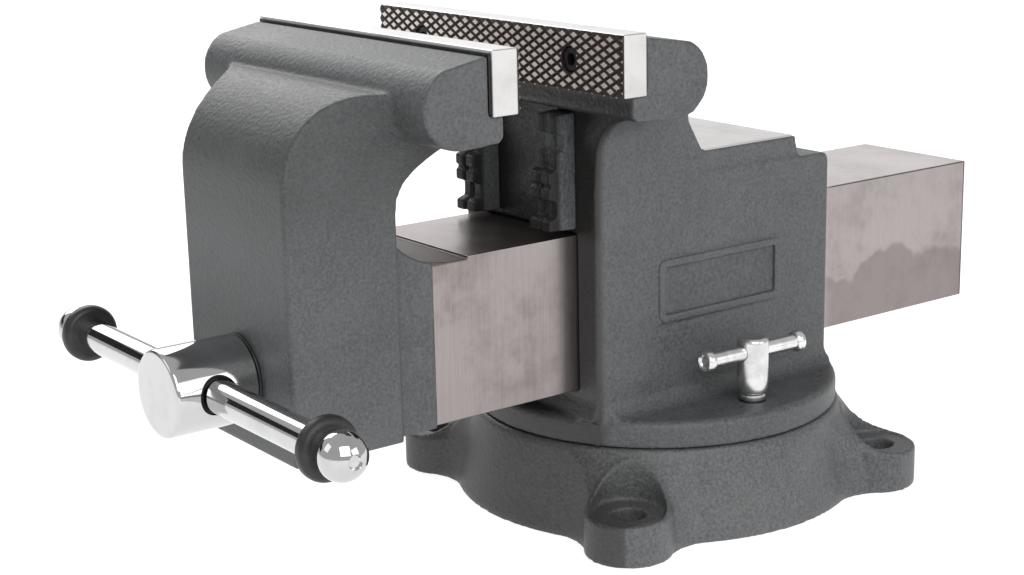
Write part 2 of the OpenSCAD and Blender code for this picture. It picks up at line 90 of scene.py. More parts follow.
class Wear(Enum):
    """What a piece is finished in, with the record's slot for it."""

    PAINT = ("cast enamel", "cast_paint")
    # enamel darkened by painted shade on the body's front wall in the throat
    THROAT = ("enamel, greasy in the throat", "cast_paint")
    # enamel of the base with painted shade on its front, under the slide and column
    BASE = ("enamel of the base, oily in front", "cast_paint")
    # enamel of the front casting with painted shadow on the bar's lower front, under the insert
    FRONT = ("enamel of the front casting, dusky under the jaw", "cast_paint")
    PANEL = ("rough enamel of the plate", "cast_paint")
    # the next two finishes darken the pipe jaws' teeth with painted shade
    PIPE_REAR = ("greasy enamel, rear", "cast_paint")
    PIPE_FRONT = ("greasy enamel, front", "cast_paint")
    MACHINED = ("machined iron", "ground_steel")
    GROUND = ("ground steel", "ground_steel")
    ANVIL = ("ground steel of the anvil", "ground_steel")
    REAR_TEETH = ("rear serration", "ground_steel")
    FRONT_TEETH = ("front serration", "ground_steel")
    CHROME = ("chromium plate", "chrome")
    NICKEL = ("hazy bright plate of the lock screws", "chrome")
    THREAD = ("oiled screw steel", "chrome")
    OXIDE = ("black oxide", "black_steel")
    RUBBER = ("black rubber", "black_rubber")
    PLASTIC = ("black acetal", "black_plastic")
    BRONZE = ("bored bronze", "bronze")

    @property
    def slot(self) -> str:
        """Name of the material slot in the record."""
        return self.value[1]


# ---------------- shader wrapper


class Value:
    """A number that varies over a surface; arithmetic on it adds Math nodes."""

    def __init__(self, graph: "Graph", socket: bpy.types.NodeSocket) -> None:
        """Wraps a socket of a graph."""
        self.graph, self.socket = graph, socket

    def _math(self, operation: str, *terms: Any) -> "Value":
        """Adds one Math node.

        Args:
            operation: Blender's name of the operation.
            terms: The operands, as Values or plain numbers.

        Returns:
            The node's result.
        """
        inputs = dict(enumerate(terms))
        made = self.graph.node("ShaderNodeMath", {"operation": operation}, inputs)
        return Value(self.graph, made.outputs[0])

    def __add__(self, other: Any) -> "Value":
        """Sum with a Value or number."""
        return self._math("ADD", self, other)

    def __sub__(self, other: Any) -> "Value":
        """Difference from a Value or number."""
        return self._math("SUBTRACT", self, other)

    def __rsub__(self, other: Any) -> "Value":
        """Difference of a number from this."""
        return self._math("SUBTRACT", other, self)

    def __mul__(self, other: Any) -> "Value":
        """Product with a Value or number."""
        return self._math("MULTIPLY", self, other)

    def __truediv__(self, other: Any) -> "Value":
        """Quotient by a Value or number."""
        return self._math("DIVIDE", self, other)

    __radd__ = __add__
    __rmul__ = __mul__

    def ramp(self, low: float, high: float) -> "Value":
        """Smooth rise from 0 at low to 1 at high; low may be the greater one.

        Args:
            low: Value that gives 0.
            high: Value that gives 1.

        Returns:
            The ramped value.
        """
        settings = {"interpolation_type": "SMOOTHSTEP"}
        inputs = {"Value": self, "From Min": low, "From Max": high}
        made = self.graph.node("ShaderNodeMapRange", settings, inputs)
        return Value(self.graph, made.outputs["Result"])


class Graph:
    """The node tree of one material, with a Principled shader at its end."""

    def __init__(self, name: str) -> None:
        """Makes an empty material with its shader and output.

        Args:
            name: Name of the material.
        """
        self.material = bpy.data.materials.new(name)
        self.material.use_nodes = True
        self.tree = self.material.node_tree
        self.tree.nodes.clear()
        self.shader = self.node("ShaderNodeBsdfPrincipled")
        self.node("ShaderNodeOutputMaterial", inputs={"Surface": self.shader.outputs[0]})
        self.place = self.node("ShaderNodeTexCoord").outputs["Object"]

    def node(
        self,
        kind: str,
        settings: dict[str, Any] | None = None,
        inputs: dict[Any, Any] | None = None,
    ) -> bpy.types.Node:
        """Adds a node, sets its properties and then fills or links its inputs.

        Args:
            kind: Blender's node type.
            settings: Properties by name.
            inputs: Values, sockets or constants by input name or index.

        Returns:
            The new node.
        """
        made = self.tree.nodes.new(kind)
        for name, value in (settings or {}).items():
            setattr(made, name, value)
        for key, value in (inputs or {}).items():
            self.feed(made.inputs[key], value)
        return made

    def feed(self, target: bpy.types.NodeSocket, value: Any) -> None:
        """Links a Value or socket to an input, or sets a constant on it.

        Args:
            target: The input.
            value: Value, socket, number or colour.
        """
        if isinstance(value, Value):
            value = value.socket
        if isinstance(value, bpy.types.NodeSocket):
            self.tree.links.new(value, target)
        elif isinstance(value, tuple) and len(value) == 3 and target.type == "RGBA":
            target.default_value = (*value, 1.0)
        else:
            target.default_value = value

    def set(self, **inputs: Any) -> None:
        """Feeds the Principled shader's inputs; underscores in names stand for spaces."""
        for name, value in inputs.items():
            self.feed(self.shader.inputs[name.replace("_", " ")], value)

    def stretched(self, x: float, y: float, z: float) -> bpy.types.NodeSocket:
        """Object coordinates scaled apart along each axis."""
        made = self.node("ShaderNodeMapping", inputs={"Vector": self.place, "Scale": (x, y, z)})
        return made.outputs[0]

    def noise(
        self,
        size: float,
        detail: float = 2.0,
        rough: float = 0.5,
        vector: bpy.types.NodeSocket | None = None,
    ) -> Value:
        """Cloudy noise from 0 to 1.

        Args:
            size: Typical width of a cloud in metres.
            detail: Number of finer layers.
            rough: Strength of the finer layers.
            vector: Coordinates, the plain object ones if left out.

        Returns:
            The noise.
        """
        inputs = {"Vector": vector or self.place, "Scale": 1.0 / size}
        inputs |= {"Detail": detail, "Roughness": rough}
        return Value(self, self.node("ShaderNodeTexNoise", inputs=inputs).outputs[0])

    def cells(self, size: float) -> Value:
        """Distance to the nearest of many scattered points.

        Args:
            size: Width of a cell in metres.

        Returns:
            The distance, from 0 to about 1.
        """
        inputs = {"Vector": self.place, "Scale": 1.0 / size}
        made = self.node("ShaderNodeTexVoronoi", {"feature": "F1"}, inputs)
        return Value(self, made.outputs["Distance"])

    def axis(self, name: str) -> Value:
        """One of the object coordinates, in metres."""
        split = self.node("ShaderNodeSeparateXYZ", inputs={0: self.place})
        return Value(self, split.outputs[name])

    def mix(self, low: Any, high: Any, factor: Any) -> bpy.types.NodeSocket:
        """Colour between two colours.

        Args:
            low: Colour or socket at factor 0.
            high: Colour or socket at factor 1.
            factor: Value or number from 0 to 1.

        Returns:
            The mixed colour's socket.
        """
        made = self.node("ShaderNodeMix", {"data_type": "RGBA"}, {0: factor, 6: low, 7: high})
        return made.outputs[2]

    def bump(self, height: Value, depth: float, below: Any = None) -> bpy.types.NodeSocket:
        """Normal tilted by a height field.

        Args:
            height: Height from 0 to 1.
            depth: Height in metres that 1 stands for.
            below: Normal of a coarser bump to add to.

        Returns:
            The bumped normal's socket.
        """
        inputs = {"Strength": 1.0, "Distance": depth, "Height": height}
        if below is not None:
            inputs["Normal"] = below
        return self.node("ShaderNodeBump", inputs=inputs).outputs[0]


# ---------------- finishes


@dataclass(frozen=True)
class CastPaint:
    """Dark grey enamel over a sand-cast skin, finely speckled.

    Painted shade darkens it where Y is past the shaded Y range and Z lies between the top and bottom
    edges of its band, save for a share of it below the band. The sides of the casting, past X squared
    in `sides`, stay unshaded.
    """

    name: str = "cast_enamel"
    shadowed: tuple[float, float] | None = None
    gloss: float = 0.5
    shade_band_top: tuple[float, float] = (0.300, 0.310)
    shade_band_bottom: tuple[float, float] = (-0.010, 0.0)
    dark: Colour = (0.036, 0.038, 0.040)
    light: Colour = (0.105, 0.109, 0.112)
    dust: Colour = (0.10, 0.101, 0.10)
    painted_shade: Colour = (0.012, 0.011, 0.010)
    grain: float = 1.5 * MM
    oil_film_and_shade: float = 0.9
    smudge_and_shade: float = 0.0
    sides: tuple[float, float] = (0.0098, 0.0094)

    def material(self) -> bpy.types.Material:
        """Builds the enamel.

        Returns:
            The material.
        """
        g = Graph(self.name)
        cloud = g.noise(38 * MM, 3.0, 0.55)
        speck = g.noise(self.grain, 2.0, 0.6)
        pit = g.cells(2.4 * MM)
        tone = (cloud * 0.35 + speck * 0.9 - 0.12).ramp(0.15, 0.85)
        dusty = g.noise(90 * MM, 2.0).ramp(0.55, 0.8) * 0.25
        colour = g.mix(g.mix(self.dark, self.light, tone), self.dust, dusty)
        # Painted shade: the enamel is darkened past a Y range, between two Z edges and inside the
        # sides.
        if self.shadowed:
            lower = g.axis("Z").ramp(*self.shade_band_bottom) * (1.0 - self.smudge_and_shade) + self.smudge_and_shade
            band = (1.0 - g.axis("Z").ramp(*self.shade_band_top)) * lower
            inner = (g.axis("X") * g.axis("X")).ramp(*self.sides)
            painted_shade = g.axis("Y").ramp(*self.shadowed) * band * inner
            colour = g.mix(colour, self.painted_shade, painted_shade * self.oil_film_and_shade)
        orange_peel = g.bump(pit, 0.16 * MM)
        normal = g.bump(speck, 0.22 * MM, orange_peel)
        rough = speck.ramp(0.25, 0.75) * 0.18 + cloud * 0.12 + 0.34
        g.set(Base_Color=colour, Roughness=rough, Normal=normal, Specular_IOR_Level=self.gloss)
        return g.material


@dataclass(frozen=True)
class MachinedIron:
    """Bare grey iron with planing marks, a warm tint and old fingerprints."""

    name: str = "machined_iron"
    clean: Colour = (0.37, 0.335, 0.33)
    stain: Colour = (0.20, 0.165, 0.16)
    bright: Colour = (0.46, 0.43, 0.42)
    old_oil: Colour = (0.175, 0.145, 0.14)
    edge: Colour = (0.06, 0.055, 0.053)
    soot: Colour = (0.085, 0.08, 0.078)
    grip: tuple[float, float] = (-0.02, -0.12)
    root: tuple[float, float] = (-0.151, -0.153)
    root_z: tuple[float, float] = (0.1525, 0.1535)
    tail: tuple[float, float] = (0.085, 0.1)
    tide: tuple[float, float] = (0.108, 0.103)
    rim: tuple[float, float, float] = (0.0395, 0.155, 0.207)

    def edge_line(self, g: Graph) -> Value:
        """Dark line along the upper and end edges of the slide's sides.

        Args:
            g: Graph of the iron.

        Returns:
            Strength of the line, from 0 to 1.
        """
        half, top, end = self.rim
        wide, thin = 1.0 * MM, 0.5 * MM
        side = (g.axis("X") * g.axis("X")).ramp((half - wide) ** 2, (half - thin) ** 2)
        upper = g.axis("Z").ramp(top - wide, top - thin)
        rear = g.axis("Y").ramp(end - wide * 2, end - wide)
        return (upper + rear).ramp(0.2, 1.0) * side

    def material(self) -> bpy.types.Material:
        """Builds the machined iron.

        Returns:
            The material.
        """
        g = Graph(self.name)
        marks = g.noise(1.0, 2.0, 0.6, g.stretched(60.0, 1800.0, 22.0))
        cross = g.noise(1.0, 2.0, 0.6, g.stretched(900.0, 50.0, 900.0))
        blotch = g.noise(46 * MM, 4.0, 0.6)
        spot = g.noise(9 * MM, 3.0, 0.65)
        handled = g.axis("Y").ramp(*self.grip) * 0.35
        dish = g.axis("Y").ramp(*self.root) * g.axis("Z").ramp(*self.root_z) * 0.75
        soiled = (blotch * 0.7 + spot * 0.45).ramp(0.5, 0.82) * 0.55 + handled
        grain = marks.ramp(0.3, 0.75) * 0.22
        colour = g.mix(g.mix(self.clean, self.stain, soiled), self.bright, grain)
        wave = g.noise(52 * MM, 3.0, 0.5) * 0.09 - 0.045
        tail = g.axis("Y").ramp(*self.tail)
        tide = (g.axis("Z") + wave).ramp(*self.tide) * tail * 0.55
        colour = g.mix(colour, self.old_oil, tide)
        colour = g.mix(colour, self.edge, self.edge_line(g) * tail * 0.8)
        colour = g.mix(colour, self.soot, dish)
        rough = blotch * 0.16 + marks * 0.12 + dish * 0.3 + 0.18
        normal = g.bump(cross, 0.012 * MM, g.bump(marks, 0.03 * MM))
        g.set(Base_Color=colour, Roughness=rough, Normal=normal, Metallic=1.0)
        return g.material


@dataclass(frozen=True)
class GroundSteel:
    """Bright surface-ground steel."""

    name: str = "ground_steel"
    clean: Colour = (0.64, 0.635, 0.63)
    dull: Colour = (0.50, 0.49, 0.485)

    def material(self) -> bpy.types.Material:
        """Builds the ground steel.

        Returns:
            The material.
        """
        g = Graph(self.name)
        marks = g.noise(1.0, 2.0, 0.55, g.stretched(35.0, 1500.0, 1500.0))
        cloud = g.noise(24 * MM, 3.0, 0.6)
        colour = g.mix(self.clean, self.dull, (cloud * 0.8 + marks * 0.2).ramp(0.45, 0.8))
        rough = marks * 0.16 + cloud * 0.12 + 0.24
        g.set(Base_Color=colour, Roughness=rough, Metallic=1.0)
        g.set(Normal=g.bump(marks, 0.02 * MM))
        return g.material


@dataclass(frozen=True)
class SerratedSteel:
    """Hardened steel whose grooves are dark with oil and whose points are worn bright."""

    name: str
    face: float
    inward: float
    depth: float
    point: Colour = (0.80, 0.72, 0.69)
    groove: Colour = (0.030, 0.020, 0.017)

    def material(self) -> bpy.types.Material:
        """Builds the steel; the height above the grooves is read from the object's Y.

        Returns:
            The material.
        """
        g = Graph(self.name)
        below = (g.axis("Y") - self.face) * self.inward / self.depth
        worn = g.noise(14 * MM, 3.0, 0.6)
        bright = 1.0 - (below + worn * 0.3 - 0.15).ramp(0.02, 0.26)
        colour = g.mix(self.groove, self.point, bright)
        rough = g.noise(1.2 * MM) * 0.2 + 0.34
        g.set(Base_Color=colour, Roughness=rough, Metallic=bright * 0.6 + 0.3)
        g.set(Normal=g.bump(g.noise(0.8 * MM), 0.04 * MM))
        return g.material


@dataclass(frozen=True)
class Chrome:
    """Polished chromium plate."""

    name: str = "chrome_plate"
    haze: float = 0.03
    bright: Colour = (0.58, 0.58, 0.585)
    smeared: Colour = (0.52, 0.52, 0.53)

    def material(self) -> bpy.types.Material:
        """Builds the chrome.

        Returns:
            The material.
        """
        g = Graph(self.name)
        smudge_and_shade = g.noise(16 * MM, 3.0, 0.6)
        fine = g.noise(1.0, 2.0, 0.5, g.stretched(700.0, 90.0, 700.0))
        colour = g.mix(self.bright, self.smeared, smudge_and_shade.ramp(0.4, 0.8))
        g.set(Base_Color=colour, Roughness=smudge_and_shade * 0.05 + fine * 0.03 + self.haze)
        g.set(Metallic=1.0, Normal=g.bump(fine, 0.006 * MM))
        return g.material


@dataclass(frozen=True)
class OiledSteel:
    """Turned steel of the screw's thread, under a film of oil."""

    name: str = "oiled_screw_steel"
    bare: Colour = (0.52, 0.51, 0.50)
    oiled: Colour = (0.26, 0.235, 0.21)

    def material(self) -> bpy.types.Material:
        """Builds the oiled steel.

        Returns:
            The material.
        """
        g = Graph(self.name)
        turned = g.noise(1.0, 2.0, 0.5, g.stretched(120.0, 2400.0, 120.0))
        oil_film_and_shade = g.noise(18 * MM, 3.0, 0.6).ramp(0.35, 0.75)
        colour = g.mix(self.bare, self.oiled, oil_film_and_shade * 0.8)
        g.set(Base_Color=colour, Roughness=turned * 0.15 + oil_film_and_shade * 0.12 + 0.2, Metallic=1.0)
        g.set(Normal=g.bump(turned, 0.015 * MM))
        return g.material


@dataclass(frozen=True)
class Mottled:
    """Finish of one tone that another covers in patches, over a fine grit."""

    name: str
    tone: Colour
    patch: Colour
    size: float
    band: tuple[float, float]
    share: float = 1.0
    rough: float = 0.42
    rougher: float = 0.2
    metal: float = 0.0
    uneven: float = 0.6
    grit: float = 0.6 * MM
    grit_deep: float = 0.03 * MM

    def material(self) -> bpy.types.Material:
        """Builds the finish.

        Returns:
            The material.
        """
        g = Graph(self.name)
        patch = g.noise(self.size, 4.0, self.uneven).ramp(*self.band)
        g.set(Base_Color=g.mix(self.tone, self.patch, patch * self.share))
        g.set(Roughness=patch * self.rougher + self.rough, Metallic=self.metal)
        g.set(Normal=g.bump(g.noise(self.grit), self.grit_deep))
        return g.material


BLACK_OXIDE = Mottled(
    "black_oxide",
    tone=(0.035, 0.035, 0.038),
    patch=(0.22, 0.21, 0.205),
    size=5 * MM,
    band=(0.55, 0.8),
    share=0.6,
    rougher=-0.12,
    metal=0.85,
    uneven=0.65,
    grit=0.7 * MM,
)
BLACK_RUBBER = Mottled(
    "black_rubber",
    tone=(0.012, 0.012, 0.013),
    patch=(0.035, 0.035, 0.037),
    size=7 * MM,
    band=(0.45, 0.85),
)
BLACK_ACETAL = replace(BLACK_RUBBER, name="black_acetal", tone=(0.014, 0.014, 0.015), rough=0.3)
BORED_BRONZE = Mottled(
    "bored_bronze",
    tone=(0.60, 0.39, 0.17),
    patch=(0.20, 0.13, 0.07),
    size=12 * MM,
    band=(0.4, 0.75),
    share=0.8,
    rough=0.3,
    metal=0.95,
    grit=1.1 * MM,
    grit_deep=0.06 * MM,
)


class Palette:
    """The finished materials, each made once."""

    def __init__(self, tooth_depth: float) -> None:
        """Builds every finish.

        Args:
            tooth_depth: Depth of the inserts' serration.
        """
        rear_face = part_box("rear_jaw_insert")[0].y
        front_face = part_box("front_jaw_insert")[1].y
        rear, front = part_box("rear_pipe_jaws")[1].y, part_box("front_pipe_jaw")[0].y
        finishes: dict[Wear, Any] = {
            Wear.PAINT: CastPaint(),
            # Painted shade in the throat: full strength on the body's front wall above the slide,
            # weaker below it.
            Wear.THROAT: CastPaint(
                "throat_enamel",
                (-0.079, -0.084),
                shade_band_top=(0.2275, 0.2325),
                shade_band_bottom=(0.15, 0.158),
                oil_film_and_shade=0.97,
                smudge_and_shade=0.75,
            ),
            # Painted shade on the front of the base, under the slide and the column.
            Wear.BASE: CastPaint(
                "base_enamel",
                (-0.055, -0.115),
                shade_band_bottom=(-0.2, -0.1),
                light=(0.135, 0.138, 0.141),
                oil_film_and_shade=0.66,
            ),
            # Painted shadow at 0.3 strength on the front casting, from just above the slide up to the
            # bar's front below the insert.
            Wear.FRONT: CastPaint(
                "front_enamel",
                (0.0, -0.01),
                shade_band_top=(0.236, 0.246),
                shade_band_bottom=(0.165, 0.2),
                oil_film_and_shade=0.3,
            ),
            Wear.PANEL: CastPaint(
                "panel_enamel",
                dark=(0.026, 0.028, 0.030),
                light=(0.095, 0.098, 0.101),
                grain=2.2 * MM,
            ),
            # Painted shade over the toothed fronts of the pipe jaws, fading out towards their backs.
            Wear.PIPE_REAR: CastPaint("shade_rear_pipes", (rear - 9 * MM, rear - 12 * MM), 0.2),
            Wear.PIPE_FRONT: CastPaint("shade_front_pipe", (front + 1 * MM, front + 5 * MM), 0.2),
            Wear.MACHINED: MachinedIron(),
            Wear.GROUND: GroundSteel(),
            Wear.ANVIL: GroundSteel("anvil_steel", (0.50, 0.49, 0.485), (0.40, 0.39, 0.385)),
            Wear.REAR_TEETH: SerratedSteel("rear_serration", rear_face, 1.0, tooth_depth),
            Wear.FRONT_TEETH: SerratedSteel("front_serration", front_face, -1.0, tooth_depth),
            Wear.CHROME: Chrome(),
            Wear.NICKEL: Chrome("nickel_plate", 0.2, (0.78, 0.78, 0.78)),
            Wear.THREAD: OiledSteel(),
            Wear.OXIDE: BLACK_OXIDE,
            Wear.RUBBER: BLACK_RUBBER,
            Wear.PLASTIC: BLACK_ACETAL,
            Wear.BRONZE: BORED_BRONZE,
        }
        self.of = {wear: finish.material() for wear, finish in finishes.items()}


# ---------------- mesh building


def linked(name: str, data: bpy.types.ID) -> bpy.types.Object:
    """Puts a new object into the scene.

    Args:
        name: Its name.
        data: Its mesh, light or camera.

    Returns:
        The object.
    """
    made = bpy.data.objects.new(name, data)
    bpy.context.scene.collection.objects.link(made)
    return made


class Solid:
    """A mesh being built, in metres in the row frame."""

    def __init__(self) -> None:
        """Starts an empty mesh."""
        self.bm = bmesh.new()

    @classmethod
    def box(cls, low: Sequence[float], high: Sequence[float]) -> "Solid":
        """Block between two corners.

        Args:
            low: Lowest corner.
            high: Highest corner.

        Returns:
            The block.
        """
        made = cls()
        low, high = Vector(low), Vector(high)
        bmesh.ops.create_cube(made.bm, size=1.0)
        scale = Matrix.Diagonal((*(high - low), 1.0))
        made.bm.transform(Matrix.Translation((low + high) / 2) @ scale)
        return made

    @classmethod
    def lathe(cls, profile: Iterable[Point2], steps: int) -> "Solid":
        """Body of revolution about Z.

        Args:
            profile: (radius, height) points; the first and last may lie on the axis.
            steps: Number of sides all round.

        Returns:
            The closed body, if the profile starts and ends on the axis or is a loop.
        """
        made = cls()
        geom = made.chain((r, 0.0, z) for r, z in profile)
        turn = {"cent": (0, 0, 0), "axis": (0, 0, 1), "angle": math.tau, "steps": steps}
        bmesh.ops.spin(made.bm, geom=geom, use_merge=True, **turn)
        return made.tidy()

    @classmethod
    def rod(cls, radius: float, low: float, high: float, steps: int, ease: float = 0.0) -> "Solid":
        """Round bar about Z.

        Args:
            radius: Its radius.
            low: Height of one end.
            high: Height of the other end.
            steps: Number of sides all round.
            ease: Width of the bevel at its ends.

        Returns:
            The closed bar.
        """
        wall = [(radius, low), (radius, high)]
        if ease:
            inner = radius - ease
            wall = [(inner, low), (radius, low + ease), (radius, high - ease), (inner, high)]
        return cls.lathe([(0, low), *wall, (0, high)], steps)

    @classmethod
    def rings(cls, profile: Sequence[Point2], steps: int) -> "Solid":
        """Ring about Z, with its mirror image below.

        Args:
            profile: (radius, height) points of a closed loop.
            steps: Number of sides all round.

        Returns:
            The two rings.
        """
        loop = [*profile, profile[0]]
        below = cls.lathe([(r, -z) for r, z in loop], steps)
        return cls.lathe(loop, steps).add(below).tidy()

    @classmethod
    def prism(cls, outline: Iterable[Point2], low: float, high: float) -> "Solid":
        """Outline of (Y, Z) points drawn out along X.

        Args:
            outline: Corners in order.
            low: X of one end.
            high: X of the other end.

        Returns:
            The closed prism.
        """
        made = cls()
        corners = [made.bm.verts.new((low, y, z)) for y, z in outline]
        face = made.bm.faces.new(corners)
        drawn = bmesh.ops.extrude_face_region(made.bm, geom=[face])["geom"]
        moved = [v for v in drawn if isinstance(v, bmesh.types.BMVert)]
        bmesh.ops.translate(made.bm, verts=moved, vec=(high - low, 0, 0))
        return made.tidy()

    @classmethod
    def of_node(cls, node: str) -> "Solid":
        """Copy of a CAD node's mesh, joined up into closed shells.

        Args:
            node: Name of the node.

        Returns:
            The copy.
        """
        made = cls()
        made.bm.from_mesh(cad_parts[node].data)
        return made.tidy()

    def chain(self, points: Iterable[Point3]) -> list[Any]:
        """Starts a line of points; gives its vertices and the edges between them."""
        verts = [self.bm.verts.new(point) for point in points]
        return verts + [self.bm.edges.new(pair) for pair in zip(verts, verts[1:])]

    def tidy(self) -> "Solid":
        """Merges doubles and turns every face outwards."""
        bmesh.ops.remove_doubles(self.bm, verts=self.bm.verts, dist=WELD)
        bmesh.ops.recalc_face_normals(self.bm, faces=self.bm.faces)
        return self

    def move(self, x: float = 0.0, y: float = 0.0, z: float = 0.0) -> "Solid":
        """Shifts the mesh."""
        self.bm.transform(Matrix.Translation((x, y, z)))
        return self

    def along(self, axis: Axis) -> "Solid":
        """Turns the mesh so that its +Z runs along another axis."""
        self.bm.transform(axis.turn())
        return self

    def spun(self, degrees: float) -> "Solid":
        """Turns the mesh about Z."""
        self.bm.transform(Matrix.Rotation(math.radians(degrees), 4, "Z"))
        return self

    def add(self, *others: "Solid") -> "Solid":
        """Takes other meshes in as further shells.

        Args:
            others: The meshes, which are used up.

        Returns:
            The same solid.
        """
        for other in others:
            spare = bpy.data.meshes.new("spare")
            other.bm.to_mesh(spare)
            self.bm.from_mesh(spare)
            bpy.data.meshes.remove(spare)
            other.bm.free()
        return self

    def twin(self) -> "Solid":
        """Adds a copy mirrored left to right.

        Returns:
            The same solid.
        """
        whole = self.bm.verts[:] + self.bm.edges[:] + self.bm.faces[:]
        copied = bmesh.ops.duplicate(self.bm, geom=whole)["geom"]
        faces = [f for f in copied if isinstance(f, bmesh.types.BMFace)]
        verts = [v for v in copied if isinstance(v, bmesh.types.BMVert)]
        bmesh.ops.scale(self.bm, verts=verts, vec=(-1, 1, 1))
        bmesh.ops.reverse_faces(self.bm, faces=faces)
        return self

    def soften(self, width: float, steps: int = 3, angle: float = 30.0) -> "Solid":
        """Rounds the edges that are sharper than an angle.

        Args:
            width: How far the rounding reaches from an edge.
            steps: Facets across the rounding.
            angle: Least angle between faces, in degrees.

        Returns:
            The same solid.
        """
        limit = math.radians(angle)
        sharp = [e for e in self.bm.edges if e.is_manifold and e.calc_face_angle(0) > limit]
        bmesh.ops.bevel(
            self.bm,
            geom=sharp,
            offset=width,
            offset_type="OFFSET",
            affect="EDGES",
            segments=steps,
            profile=0.5,
            material=-1,
            clamp_overlap=True,
        )
        return self

    def cut(self, at: Sequence[float], facing: Sequence[float]) -> "Solid":
        """Cuts away what lies past a plane and closes the section.

        Args:
            at: A point on the plane.
            facing: Direction in which everything is removed.

        Returns:
            The same solid.
        """
        whole = self.bm.verts[:] + self.bm.edges[:] + self.bm.faces[:]
        done = bmesh.ops.bisect_plane(
            self.bm, geom=whole, plane_co=at, plane_no=facing, clear_outer=True
        )
        rim = [e for e in done["geom_cut"] if isinstance(e, bmesh.types.BMEdge)]
        bmesh.ops.triangle_fill(self.bm, edges=rim, use_beauty=True)
        return self.tidy()

    def carve(self, *cutters: "Solid") -> "Solid":
        """Cuts other solids out of this one.

        Args:
            cutters: The closed solids to remove.

        Returns:
            The same solid, with the others gone from it.
        """
        block = self.stand_in("block")
        tools = [cutter.stand_in("tool") for cutter in cutters]
        for tool in tools:
            cut = block.modifiers.new("cut", "BOOLEAN")
            cut.operation = "DIFFERENCE"
            cut.solver = "EXACT"
            cut.object = tool
        self.bm = bmesh.new()
        self.take(block, *tools)
        return self.tidy()

    def stand_in(self, name: str) -> bpy.types.Object:
        """Moves the mesh into a temporary object, for modifiers to work on."""
        return linked(name, self.to_mesh(name))

    def take(self, block: bpy.types.Object, *others: bpy.types.Object) -> None:
        """Takes the modified mesh of a temporary object, then removes it and its helpers.

        Args:
            block: The object with the modifiers.
            others: Objects that its modifiers use.
        """
        graph = bpy.context.evaluated_depsgraph_get()
        self.bm.from_mesh(block.evaluated_get(graph).to_mesh())
        for spent in (block, *others):
            mesh = spent.data
            bpy.data.objects.remove(spent)
            bpy.data.meshes.remove(mesh)

    def plain(self) -> "Solid":
        """Joins the triangles of each flat side into one face."""
        bmesh.ops.dissolve_limit(
            self.bm, angle_limit=math.radians(0.6), verts=self.bm.verts, edges=self.bm.edges
        )
        return self

    def to_mesh(self, name: str) -> bpy.types.Mesh:
        """Writes the finished mesh and frees the working one.

        Args:
            name: Name of the mesh.

        Returns:
            The mesh, shaded smooth.
        """
        mesh = bpy.data.meshes.new(name)
        self.bm.to_mesh(mesh)
        self.bm.free()
        mesh.polygons.foreach_set("use_smooth", [True] * len(mesh.polygons))
        return mesh


@dataclass(frozen=True)
class SandMould:
    """Rounds a hard-edged solid all over, as a casting leaves its mould."""

    grain: float = 0.95 * MM
    passes: int = 9
    kept: float = 0.36

    def cast(self, pattern: Solid) -> Solid:
        """Casts a solid.

        Args:
            pattern: The hard-edged solid.

        Returns:
            The same form with every edge and inner corner rounded.
        """
        block = pattern.stand_in("pattern")
        mould = block.modifiers.new("grain", "REMESH")
        mould.mode = "VOXEL"
        mould.voxel_size = self.grain
        relax = block.modifiers.new("relax", "SMOOTH")
        relax.factor = 0.5
        relax.iterations = self.passes
        thin = block.modifiers.new("thin", "DECIMATE")
        thin.ratio = self.kept
        made = Solid()
        made.take(block)
        return made


def arc(centre: Point2, radius: float, start: float, end: float, steps: int) -> list[Point2]:
    """Points along an arc.

    Args:
        centre: Centre of the circle.
        radius: Its radius.
        start: Angle of the first point, in degrees.
        end: Angle of the last point, in degrees.
        steps: Number of chords.

    Returns:
        The points, one more than there are chords.
    """
    turns = [math.radians(start + (end - start) * i / steps) for i in range(steps + 1)]
    return [(centre[0] + radius * math.cos(a), centre[1] + radius * math.sin(a)) for a in turns]


@dataclass
class Workshop:
    """Turns solids into the visible pieces of the vise."""

    palette: Palette
    made: list[str] = field(default_factory=list)

    def piece(
        self,
        name: str,
        solid: Solid,
        wear: Wear,
        body: Body,
        nodes: Sequence[str] = (),
        machined: bool = True,
    ) -> None:
        """Puts a piece into the scene on its CAD body.

        Args:
            name: The piece's name.
            solid: Its mesh, in the row frame.
            wear: Its finish.
            body: The CAD body that it moves with.
            nodes: The CAD nodes that it stands for.
            machined: Whether its flats shade flat, up to their rounded edges.
        """
        mesh = solid.to_mesh(name)
        mesh.materials.append(self.palette.of[wear])
        made = linked(name, mesh)
        if machined:
            mesh.set_sharp_from_angle(angle=math.radians(CREASE))
            weighted = made.modifiers.new("flats", "WEIGHTED_NORMAL")
            weighted.keep_sharp = True
        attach(made, body.value)
        if nodes:
            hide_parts(*nodes)
        self.made.append(name)
        log.info("%-24s %7d faces on %s", name, len(mesh.polygons), body.value)

    def copied(self, node: str, wear: Wear, body: Body, width: float = 0.4 * MM) -> None:
        """Makes a piece from a CAD node's own form, with its edges eased.

        Args:
            node: The CAD node.
            wear: Its finish.
            body: The CAD body that it moves with.
            width: How far the easing reaches from an edge.
        """
        solid = Solid.of_node(node).plain().soften(width, 2, 40.0)
        self.piece(f"{node}_detail", solid, wear, body, [node])


# ---------------- sub-assemblies


@dataclass
class SwivelBase:
    """Round base casting with four bolt lugs."""

    shop: Workshop

    def build(self) -> None:
        """Builds the base."""
        skin = SandMould().cast(Solid.of_node("swivel_base"))
        self.shop.piece("base_casting", skin, Wear.BASE, Body.BASE, ["swivel_base"], False)


